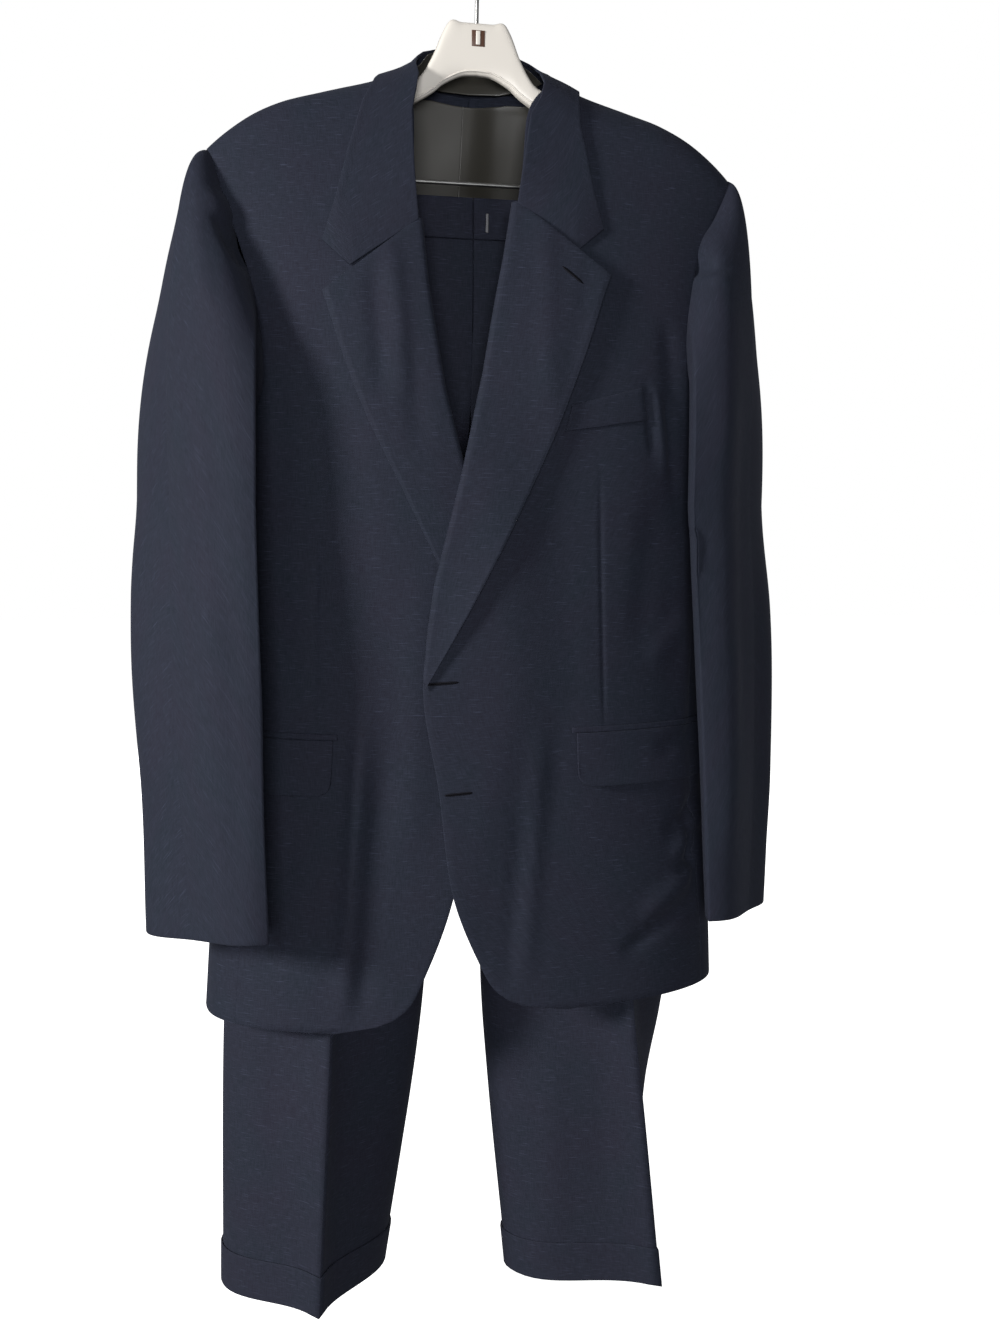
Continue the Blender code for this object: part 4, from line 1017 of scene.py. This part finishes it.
for side, word in SIDE_NAMES.items():
    rows = np.linspace(0, 1, 60)
    edge_drop = blend(136, LINING_FOOT, rows)
    half_width = np.interp(edge_drop, (136, 200, 280, 470), (66, 150, 185, 188))
    share = np.concatenate([[0, 0.006, 0.015, 0.03, 0.05, 0.08], np.linspace(0.12, 1, 30)])
    x = side * blend(PLEAT_LAP[side], half_width[:, None], share)
    drop = np.maximum(edge_drop[:, None], shoulder_line(x, "back") + 7)
    points = body_point(x, drop, "back")
    normals = body_normals(x, drop, "back")
    swell = unevenness(x, drop, 60, 1.2, 31 + side) * ease((drop - 150) / 40) - 0.6
    swell = swell - PLEAT_RAISED[side] * (1 - ease(side * x / PLEAT_HALF))
    outside = points + np.minimum(swell - LINING_OFF, -0.4)[..., None] * normals
    cloth(f"back_lining_{word}", outside - LINING_WALL * normals, outside, LINING_CLOTH, "lining")

# ---------------------------------------------------------------- the sleeves
# Two-piece sleeves, a top sleeve outside and an under sleeve inside, set into the armholes. The
# right one is turned flat to the front, and the left one hangs edge on.

SLEEVE_COLUMNS = "drop front_x front_y back_x back_y out inner"
SLEEVES = {
    -1: Table(
        SLEEVE_COLUMNS,
        (500, 206, -126, 292, 42, 30, 12),
        (640, 203, -138, 300, 12, 27, 15),
        (760, 201, -141, 296, -10, 22, 13),
        (880, 197, -140, 294, -28, 18, 12),
    ),
    1: Table(
        SLEEVE_COLUMNS,
        (500, 175, -114, 290, 46, 28, 3),
        (640, 183, -122, 294, 18, 24, 12),
        (760, 193, -119, 292, 0, 21, 10),
        (886, 206, -106, 294, 2, 17, 9),
    ),
}
CUFF_TILT = {-1: 12, 1: 8}  # how much the cuff's front edge rises


def sleeve_plan(side, turn, drop):
    """A hanging sleeve's section. turn is 0 outside, 1/4 at the front edge, 1/2 inside, 3/4 back."""
    rows = SLEEVES[side]
    size = {name: rows.at(name, drop) for name in rows.names[1:]}
    front = np.stack([size["front_x"], size["front_y"]], -1)
    back = np.stack([size["back_x"], size["back_y"]], -1)
    along = unit(back - front)
    out = np.stack([along[..., 1], -along[..., 0]], -1)
    outer = blend(front, back, 0.5) + size["out"][..., None] * out
    inner = blend(front, back, 0.5) - size["inner"][..., None] * out
    corners = (outer, front, inner, back, outer)
    arriving = (-along, unit(-0.6 * along - out), along, unit(0.6 * along + out), -along)
    leaving = (-along, unit(0.8 * along - 0.6 * out), along, unit(out - 0.6 * along))
    turn = np.mod(turn, 1)
    point = np.zeros(turn.shape + (2,))
    for k in range(4):
        t = np.clip(turn * 4 - k, 0, 1)
        here = (turn * 4 >= k) & (turn * 4 < k + 1)
        piece = corner_curve(corners[k], corners[k + 1], leaving[k], arriving[k + 1], t)
        point = np.where(here[..., None], piece, point)
    forward = 0.5 + 0.5 * np.sin(2 * np.pi * turn)
    rise = CUFF_TILT[side] * forward * ease((drop - 500) / 380)
    return np.stack([side * point[..., 0], point[..., 1], rise - drop], -1)


def armhole(side, front_rows, shares):
    """The armhole's edge on the panels' outer faces, from the shoulder round by the front.

    It comes with each point's turn round the sleeve.
    """
    ring = []
    for table, face in ((FRONT, "front"), (BACK, "back")):
        points, normals = panel(table, side, front_rows, np.array([0.0, 1.0]), face)
        ring.append((points + (JACKET_WALL + 2 * GAP) * normals)[:, -1])
    points, normals = side_panel(side, np.array([float(ARMHOLE_ROWS)]), shares)
    below = (points + (JACKET_WALL + 4 * GAP) * normals)[0, 1:-1]
    top = blend(ring[0][:1], ring[1][:1], 0.5)
    loop = np.concatenate([top, ring[0][1:], below, ring[1][:0:-1]])
    loop[:, 0] += side * 5 * GAP
    front_turns = np.interp(front_rows, [0, 3, ARMHOLE_ROWS], [0, 0.25, 0.42])
    under_turns = blend(0.42, 0.58, shares[1:-1])
    turns = np.concatenate([front_turns, under_turns, 1 - front_turns[:0:-1]])
    return loop, turns


def sleeve_grid(side, start, turns, rows):
    """A sleeve's outer points. A row from 0 to 1 is on the cap, and a larger one is a drop."""
    first = sleeve_plan(side, turns, np.full(turns.shape, SLEEVES[side].rows[0, 0]))
    knee = first.copy()
    knee[:, 2] = start[:, 2]
    grid = []
    for row in rows:
        if row > 1:
            grid.append(sleeve_plan(side, turns, np.full(turns.shape, float(row))))
        else:
            grid.append(start * (1 - row) ** 2 + 2 * knee * row * (1 - row) + first * row**2)
    return np.array(grid)


# turn1, drop1, turn2, drop2, half width, height, where a turn runs from 0 on the outside through
# 25 at the front edge to 50 on the inside, and -25 at the back edge
SLEEVE_FOLDS = {
    -1: Folds(
        (9, 222, 20, 252, 1.8, -6.5),
        (12, 262, 22, 306, 1.8, -6.5),
        (8, 240, 17, 280, 2.0, 3.5),
        (5, 262, 13, 340, 3, 3.0),
        (5, 300, 10, 520, 6, 2.6),
        (15, 380, 19, 640, 4, -2.8),
        (-2, 450, 4, 700, 6, -2.4),
        (12, 560, 7, 800, 5, 2.6),
        (20, 600, 17, 840, 4, -2.4),
        (-10, 300, -14, 520, 6, -2.6),
        (-16, 540, -8, 760, 6, 2.4),
    ),
    1: Folds(
        (17, 232, 21, 268, 2.0, -5.0),
        (25, 274, 14, 292, 6, -5.0),
        (12, 240, 15, 300, 3, 2.6),
        (14, 300, 18, 460, 5, 2.6),
        (21, 380, 23, 640, 4, -2.6),
        (6, 400, 10, 700, 5, -2.4),
        (24, 520, 18, 560, 6, -2.6),
        (13, 620, 19, 820, 5, 2.4),
        (-10, 320, -14, 560, 6, -2.6),
        (-6, 560, -12, 800, 6, 2.6),
    ),
}
sleeve_seam = len(armhole_rows) - 5  # columns from the shoulder to each seam
CAP_ROWS = list(np.linspace(0, 1, 58))
SEAM_SUNK, SEAM_CLOSED, SEAM_ALLOWANCE = 1.4, 2.2, 5.0  # the armhole seam, in millimetres
for side, word in SIDE_NAMES.items():
    start, turns = armhole(side, armhole_rows, SIDE_SHARES)
    inwards = unit((start.mean(0) - start) * (0, 1, 1))
    start = start + SEAM_SUNK * inwards - (side * SEAM_CLOSED, 0, 0)
    allowance = start + SEAM_ALLOWANCE * inwards - (side * SEAM_ALLOWANCE, 0, 0)
    hem = SLEEVES[side].rows[-1, 0]
    grid = sleeve_grid(side, start, turns, CAP_ROWS + list(spaced([SLEEVES[side].rows[0, 0], hem], 5.5)[1:]))
    grid = np.concatenate([allowance[None], grid])
    normals = grid_normals(grid, closed=True)
    normals *= np.sign(normals[len(normals) // 2, 0, 0] * side)
    turned = np.broadcast_to(np.mod(turns + 0.5, 1) - 0.5, grid.shape[:2])
    drop = -grid[..., 2]
    height = SLEEVE_FOLDS[side].height(turned * 100, drop)
    height = height + unevenness(turned * 330, drop, 100, 1.4, 41 + side) * ease((drop - 330) / 150)
    grid = grid + height[..., None] * normals
    columns = len(turns)
    weft = lengths(np.concatenate([grid, grid[:, :1]], 1), 1)
    whole, weft = weft[:, -1:], weft[:, :-1]
    weft = np.where(turns > 0.5, weft - whole, weft)
    weave = np.stack([weft, lengths(grid, 0)], -1)
    top = np.arange(-sleeve_seam, sleeve_seam + 1)
    under = np.arange(sleeve_seam, columns - sleeve_seam + 1)
    for part, chosen in (("top", top), ("under", under)):
        outside = trim(grid[:, chosen])
        inside = outside - JACKET_WALL * normals[:, chosen]
        cloth(f"sleeve_{part}_{word}", inside, outside, JACKET_CLOTH, "worsted", weave[:, chosen])

# ---------------------------------------------------------------- lapels and collar
# Notched lapels that roll back from the front edges, and a collar that falls over its stand. Both
# are the jacket's worsted over canvas, with a soft roll along the fold.

LAPEL_EDGE = Table(  # off the centre line, from above the tip down to the end of the roll
    "drop out",
    (295, 131),
    (322, 121),
    (368, 106),
    (430, 82),
    (489, 54),
    (557, 20),
    (610, -7),
    (659, -33),
)
LAPEL_TOP = 311
LAPEL_WIDER = 3.5  # how much wider the left lapel shows than the mean, and the right one narrower
LOPSIDED = Table("drop higher", (140, 0), (260, 10), (330, 11), (480, 0))  # the left over the mean
GORGE_DROP = 250  # of the gorge seam's inner end, on the roll line
ROLL_END = 654
NOTCH_OUT, NOTCH_DROP = 99, 290
COLLAR_TIP_OUT, COLLAR_TIP_DROP = 123, 269
OFF = JACKET_WALL + 2 * GAP  # of a piece that lies on a panel, from the panel's inner surface


def off_front(side, out, drop, off):
    """Points and normals off a front, by how far they stand off the centre line."""
    drop = drop - side * LOPSIDED.at("higher", drop)
    x = CENTRE.at("x", drop) + side * out
    point = front_point(side, x, drop)
    point[..., 1] -= off
    return point, body_normals(x, drop, "front")


lapel_steps = np.linspace(0, 1, 78)[:, None]
LAPEL_SHARES = np.concatenate([np.linspace(0, 0.94, 24), [0.953, 0.966, 0.978, 0.99, 1]])
EDGE_TURN = 0.95  # share of the width where each lapel's pressed edge starts to turn down
ROLL_TURNS = np.radians([165, 140, 115, 90, 60, 30])  # round the fold, from behind the front's edge
ROLL_ROUND = 2.6
GORGE_TUCK = 2.0  # how far each lapel's top runs in under the collar
EDGE_DOWN = {-1: 0.9, 1: 0.1}  # share of the lift that the turned edge loses
LAPEL_LIFT = {-1: 3.0, 1: 6.5}  # how far each lapel's outer edge springs off the front
LAPEL_FOLDS = {
    -1: Folds((-104, 290, -98, 400, 8, -2.4), (-88, 270, -78, 400, 8, 2.6), (-78, 350, -64, 450, 10, -1.8)),
    1: Folds((46, 250, 44, 420, 10, 1.6), (84, 300, 60, 430, 9, -1.2)),
}
for side, word in SIDE_NAMES.items():
    roll_drop = blend(GORGE_DROP - GORGE_TUCK, ROLL_END, lapel_steps)
    out_drop = blend(LAPEL_TOP, LAPEL_EDGE.rows[-1, 0], lapel_steps)
    widest = LAPEL_EDGE.at("out", out_drop) + side * LAPEL_WIDER * (1 - lapel_steps)
    drop = blend(roll_drop, out_drop, LAPEL_SHARES)
    out = blend(edge_line(roll_drop) + 0.4, widest, LAPEL_SHARES)
    lift = LAPEL_LIFT[side] * LAPEL_SHARES**2 * ease(4 * (1 - lapel_steps))
    lift = lift * (1 - EDGE_DOWN[side] * ease((LAPEL_SHARES - EDGE_TURN) / (1 - EDGE_TURN)))
    belly = np.sin(np.pi * LAPEL_SHARES) * 2.5 * (1 - lapel_steps) + LAPEL_SHARES * 0.6 + lift
    x = CENTRE.at("x", drop) + side * out
    belly = belly + LAPEL_FOLDS[side].height(x, drop)
    points, normals = off_front(side, out, drop, OFF + 0.5 + belly)
    lapel_face = points + JACKET_WALL * normals, normals  # its last value is the left lapel's
    around, roll = np.cos(ROLL_TURNS), ROLL_ROUND * ease((1 - lapel_steps) / 0.12)
    rolled = points[:, :1] + np.zeros((1, len(ROLL_TURNS), 1))
    rolled[..., 0] -= side * roll * np.sin(ROLL_TURNS)
    rolled[..., 1] += roll * (1 - around)
    turned = np.stack([-side * np.sin(ROLL_TURNS), -around, 0 * around], -1)
    turned = np.broadcast_to(turned, rolled.shape)
    points = np.concatenate([rolled, points], 1)
    normals = np.concatenate([turned, normals], 1)
    cloth(f"lapel_{word}", points, points + JACKET_WALL * normals, JACKET_CLOTH, "worsted", flow(points, 0))

COLLAR = Table(
    "station fold_x fold_y fold_drop edge_x edge_drop off",
    (0, 0, 41, 86, 0, 140, 4.0),
    (1, 24, 37, 88, 38, 141, 4.0),
    (2, 43, 22, 97, 72, 140, 4.4),
    (2.5, 50, 12, 104, 81, 135, 5.4),
    (3, 54, 2, 111, 88, 130, 5.0),
    (3.4, 56, -8, 119, 92, 138, 5.6),
    (4, 56, -19, 132, 96, 156, 5.6),
    (4.5, 55, -28, 146, 100, 174, 5.4),
    (5, 52, -38, 162, 105, 193, 5.0),
    (6, 48, -54, 205, 114, 235, 4.0),
)
RIDGE_STATION = 3
COLLAR_SHARES = np.array([0, 0.03, 0.07, 0.12, 0.19, 0.28, 0.4, 0.52, 0.65, 0.76, 0.85, 0.93, 1])
GORGE_SHARE = 0.85  # of the collar's width at its end lies along the gorge, and the rest is its tip


def collar_half(side):
    """Points of half a collar, a line for each station, and last the line of the gorge."""
    lines = []
    for station, fold_x, fold_y, fold_drop, edge_x, edge_drop, off in COLLAR.rows:
        face = "front" if station >= RIDGE_STATION else "back"
        share = COLLAR_SHARES
        x = blend(fold_x, edge_x, share)
        drop = blend(fold_drop, edge_drop, share)
        drop = drop - side * LOPSIDED.at("higher", drop)
        x = side * x + CENTRE.at("x", drop) * ease((drop - 125) / 40)
        y = np.full(len(share), fold_y)
        on = np.maximum(drop, RIDGE.at("drop", np.abs(x)) + 0.1)
        resting = body_point(x, on, face) + off * body_normals(x, on, face)
        if face == "front":
            y = np.minimum(y, resting[:, 1])
        else:
            y = np.maximum(y, resting[:, 1])
        lines.append(np.stack([x, y, np.maximum(-drop, resting[:, 2])], -1))
    reach = COLLAR_SHARES[COLLAR_SHARES < GORGE_SHARE] / GORGE_SHARE
    beyond = (COLLAR_SHARES[COLLAR_SHARES >= GORGE_SHARE] - GORGE_SHARE) / (1 - GORGE_SHARE)
    out = np.append(blend(edge_line(GORGE_DROP) + 0.4, NOTCH_OUT, reach),
                    blend(NOTCH_OUT, COLLAR_TIP_OUT, beyond))
    drop = np.append(blend(GORGE_DROP, NOTCH_DROP, reach), blend(NOTCH_DROP, COLLAR_TIP_DROP, beyond))
    drop = drop - 0.4
    lines.append(off_front(side, out, drop, OFF + 1.2)[0])
    return np.array(lines)


right_half, left_half = collar_half(-1), collar_half(1)
points = np.concatenate([right_half[::-1], left_half[1:]])
normals = grid_normals(points)
normals *= np.sign(normals[len(points) // 2, 3, 1])
cloth("collar_fall", points, points + JACKET_WALL * normals, JACKET_CLOTH, "worsted")

STAND = Table(
    "station top_x top_y top_drop foot_x foot_y foot_drop",
    (0, 0, 38, 88, 0, 29, 130),
    (1, 23, 34, 90, 27, 26, 129.5),
    (2, 41, 20, 99, 50, 17, 126),
    (3, 51, 1, 113, 62, 4, 121),
)
lines = []
for side in (-1, 1):
    top, foot = STAND.rows[:, 1:4], STAND.rows[:, 4:7]
    line = np.stack([blend(top, foot, share) for share in np.linspace(0, 1, 8)], 1)
    lines.append(line * (side, 1, -1))
points = np.concatenate([lines[0][::-1], lines[1][1:]])
normals = grid_normals(points)
normals *= -np.sign(normals[3, 1, 1])
cloth("collar_stand", points, points + LINING_WALL * normals, LINING_CLOTH, "worsted")

# ---------------------------------------------------------------- pockets
# A straight jetted hip pocket with a flap on each side, and a welt pocket on the left chest.

FLAP_TOP, FLAP_DEPTH, FLAP_CORNER = 703, 49, 12
JETTING = 5
JETTING_WALL, WELT_WALL = 1.2, 1.6
FLAP_OFF = OFF + 1.4
FLAP_FRONT = 107  # how far the flap's front end stands off the centre line
FLAP_BACK = {-1: 1.62, 1: 1.30}  # the angle round the body at which its back end lies


def on_side(side, start, end, shares, drops, off):
    """Points and normals off the front and side panels, between two angles round the body."""
    angle = blend(start, end, shares) + 0 * drops
    away = np.array([side, -1, 0.0])
    normals = outward(lambda a, b: ring_point(side, a * 0.02, b), angle / 0.02, drops, away)
    points = ring_point(side, angle, drops) + off * normals
    if side > 0:
        points[..., 1] -= LAP.at("lift", drops) * (1 - ease((points[..., 0] + 18) / 70))
    return points, normals


FLAP_SPRING = 2.6  # how far a flap's lower edge springs off the front
FLAP_END = np.array([0, 0.004, 0.012, 0.024, 0.04, 0.06, 0.09, 0.12])  # closer round the corners
FLAP_SHARES = np.concatenate([FLAP_END, np.linspace(0.16, 0.84, 22), 1 - FLAP_END[::-1]])

for side, word in SIDE_NAMES.items():
    at = side * FLAP_FRONT + CENTRE.at("x", FLAP_TOP)
    start = side_angle(at, FLAP_TOP)
    end = FLAP_BACK[side]
    near = np.minimum(FLAP_SHARES, 1 - FLAP_SHARES) * 150 / FLAP_CORNER
    rounded = FLAP_CORNER * (1 - np.sqrt(1 - (1 - np.minimum(near, 1)) ** 2))
    depth = np.linspace(0, 1, 12)[:, None] * (FLAP_DEPTH - rounded)
    drops = FLAP_TOP + depth - side * 2
    points, normals = on_side(side, start, end, FLAP_SHARES, drops, FLAP_OFF)
    spring = FLAP_SPRING * np.linspace(0, 1, 12)[:, None] ** 2
    points = points + (spring + front_height(side, points[..., 0], -points[..., 2]))[..., None] * normals
    cloth(f"flap_{word}", points, points + JACKET_WALL * normals, JACKET_CLOTH, "worsted", flow(points, 100))
    drops = np.linspace(FLAP_TOP - JETTING - GAP, FLAP_TOP - GAP, 4)[:, None] - side * 2
    points, normals = on_side(side, start, end, np.linspace(-0.02, 1.01, 30), drops, FLAP_OFF)
    points = points + front_height(side, points[..., 0], -points[..., 2])[..., None] * normals
    cloth(f"jetting_{word}", points, points + JETTING_WALL * normals, JACKET_CLOTH, "worsted",
          flow(points, 98))

WELT = Table("share low_x low_drop high_x high_drop", (0, 62, 436, 68, 413), (1, 142, 424, 134, 396))
share = np.linspace(0, 1, 24)
low = [blend(*WELT.rows[:, WELT.names.index(name)], share) for name in ("low_x", "low_drop")]
high = [blend(*WELT.rows[:, WELT.names.index(name)], share) for name in ("high_x", "high_drop")]
x, drop = (blend(a, b, np.linspace(0, 1, 8)[:, None]) for a, b in zip(high, low))
points = front_point(1, x, drop)
normals = body_normals(x, drop, "front")
points = points + (OFF + front_height(1, x, drop)[..., None]) * normals
cloth("chest_welt", points, points + WELT_WALL * normals, JACKET_CLOTH, "worsted",
      flow(points, 60))

# ---------------------------------------------------------------- buttons and buttonholes
# Two dark horn buttons on the right front, behind the lap, and worked buttonholes in the left
# front's edge and in its lapel. Each buttonhole's slit is a near-black bar of painted shade.

HORN = moulded("dark_horn", (0.012, 0.013, 0.02), 0.3, 1.8)
HOLE_ROW, HOLE_COLUMNS = 5, slice(13, 20)  # of the left lapel's face, a little below its top
lapel_hole = [grid[HOLE_ROW, HOLE_COLUMNS] for grid in lapel_face]
THREAD = moulded("buttonhole_thread", (0.008, 0.008, 0.012), 0.75, 1.4)
# The slit's near-black is painted shade, standing in for the shadow inside each buttonhole's cut.
SLIT_SHADE = moulded("buttonhole_slit_shade", (0.002, 0.002, 0.003), 0.9, 1.2)
for material in (THREAD, SLIT_SHADE):
    shader_of(material).inputs["Specular IOR Level"].default_value = 0.1


def stitched_bar(name, centre, facing, half_width, high, material):
    """A bar of thread, or of painted shade for a slit, along the centre line's points, which lie on cloth
    that faces their normals.
    """
    share = np.linspace(0, 1, len(centre))
    along = unit(np.gradient(centre, axis=0))
    beside = unit(np.cross(along, facing))
    angle = 2 * np.pi * np.arange(12) / 12
    ends = np.sqrt(np.maximum(1 - np.abs(2 * share - 1) ** 6, 0.02))[:, None, None]
    rings = centre[:, None] + ends * (half_width * np.cos(angle)[None, :, None] * beside[:, None]
                                      + high * np.sin(angle)[None, :, None] * facing[:, None])
    return tube_piece(name, list(rings), material, "worsted")


def on_front(one, other):
    """Points and normals on the left front's face, from one (x, drop) to the other."""
    x, drop = (blend(a, b, np.linspace(0, 1, 15)) for a, b in zip(one, other))
    facing = body_normals(x, drop, "front")
    return front_point(1, x, drop) + (front_height(1, x, drop) + JACKET_WALL)[:, None] * facing, facing


THREAD_HALF, THREAD_HIGH = 1.5, 0.5  # half the worked edge's width, and how far it stands up
SLIT_HALF, SLIT_HIGH, SLIT_OFF = 0.6, 0.3, 0.35  # of the slit of painted shade along its middle
BUTTONHOLES = {
    "upper": on_front((-59, 655), (-31, 653)),
    "lower": on_front((-43, 752), (-18, 750)),
    "lapel": lapel_hole,
}
for word, (centre, facing) in BUTTONHOLES.items():
    stitched_bar(f"buttonhole_{word}", centre, facing, THREAD_HALF, THREAD_HIGH, THREAD)
    stitched_bar(f"buttonhole_slit_shade_{word}", centre + SLIT_OFF * facing, facing, SLIT_HALF, SLIT_HIGH,
                 SLIT_SHADE)
for level in ("upper", "lower"):
    repaint(f"button_{level}", HORN)

# ---------------------------------------------------------------- the studio
# A pale floor below the suit, a soft light to its right, one from the front and one from behind.

FLOOR_DROP = 1330
floor_mesh = bpy.data.meshes.new("floor")
floor_mesh.from_pydata([(-6, -4, 0), (6, -4, 0), (6, 8, 0), (-6, 8, 0)], [], [(0, 1, 2, 3)])
floor = bpy.data.objects.new("floor", floor_mesh)
floor.location.z = -FLOOR_DROP * MM
floor_mesh.materials.append(new_material("floor", (0.93, 0.93, 0.93), 0.9, Emission_Color=(1, 1, 1, 1),
                                         Emission_Strength=0.92))
floor.visible_diffuse = False  # its glow stays off the suit
floor.visible_glossy = False
bpy.context.scene.collection.objects.link(floor)


def soft_light(name, place, target, size, power, tint):
    """A square area light at place, facing target, in metres and watts."""
    lamp = bpy.data.lights.new(name, "AREA")
    lamp.shape = "SQUARE"
    lamp.size = size
    lamp.energy = power
    lamp.color = tint
    light = bpy.data.objects.new(name, lamp)
    light.location = place
    light.rotation_euler = (Vector(target) - Vector(place)).to_track_quat("-Z", "Y").to_euler()
    bpy.context.scene.collection.objects.link(light)


MIDDLE = (0, 0, -0.6)
soft_light("key", (-2.9, -1.35, 0.25), MIDDLE, 0.6, 112, (1.0, 0.99, 0.97))
soft_light("fill", (-0.7, -3.1, -0.35), MIDDLE, 0.9, 52, (0.97, 0.98, 1.0))
soft_light("back", (0.3, 3.4, -0.2), MIDDLE, 1.6, 55, (1, 1, 1))

world = bpy.data.worlds.new("studio")
world.use_nodes = True
bpy.context.scene.world = world
background = world.node_tree.nodes["Background"]
seen = world.node_tree.nodes.new("ShaderNodeLightPath").outputs["Is Camera Ray"]
strength = world.node_tree.nodes.new("ShaderNodeMapRange")
strength.inputs["To Min"].default_value = 0.1
strength.inputs["To Max"].default_value = 1.0
background.inputs["Color"].default_value = (1, 1, 1, 1)
world.node_tree.links.new(strength.inputs["Value"], seen)
world.node_tree.links.new(background.inputs["Strength"], strength.outputs["Result"])
bpy.context.scene.view_settings.view_transform = "Standard"

# The camera stands before the suit, a little to its right, and looks slightly down and across.
CAMERA_PLACE = (-0.30147, -1.41832, -0.47850)
CAMERA_TOWARD = (0.22617, 0.96683, -0.11871)
CAMERA_ROLL = math.radians(0.9)
FOCAL_LENGTH, SENSOR = 42.13, 36  # in millimetres, along the picture's longer side
camera_data = bpy.data.cameras.new("camera")
camera_data.lens = FOCAL_LENGTH
camera_data.sensor_width = SENSOR
camera_data.clip_start = 0.01
camera = bpy.data.objects.new("camera", camera_data)
aim = Vector(CAMERA_TOWARD).to_track_quat("-Z", "Y").to_matrix().to_4x4()
camera.matrix_world = Matrix.Translation(CAMERA_PLACE) @ aim @ Matrix.Rotation(CAMERA_ROLL, 4, "Z")
bpy.context.scene.collection.objects.link(camera)
bpy.context.scene.camera = camera
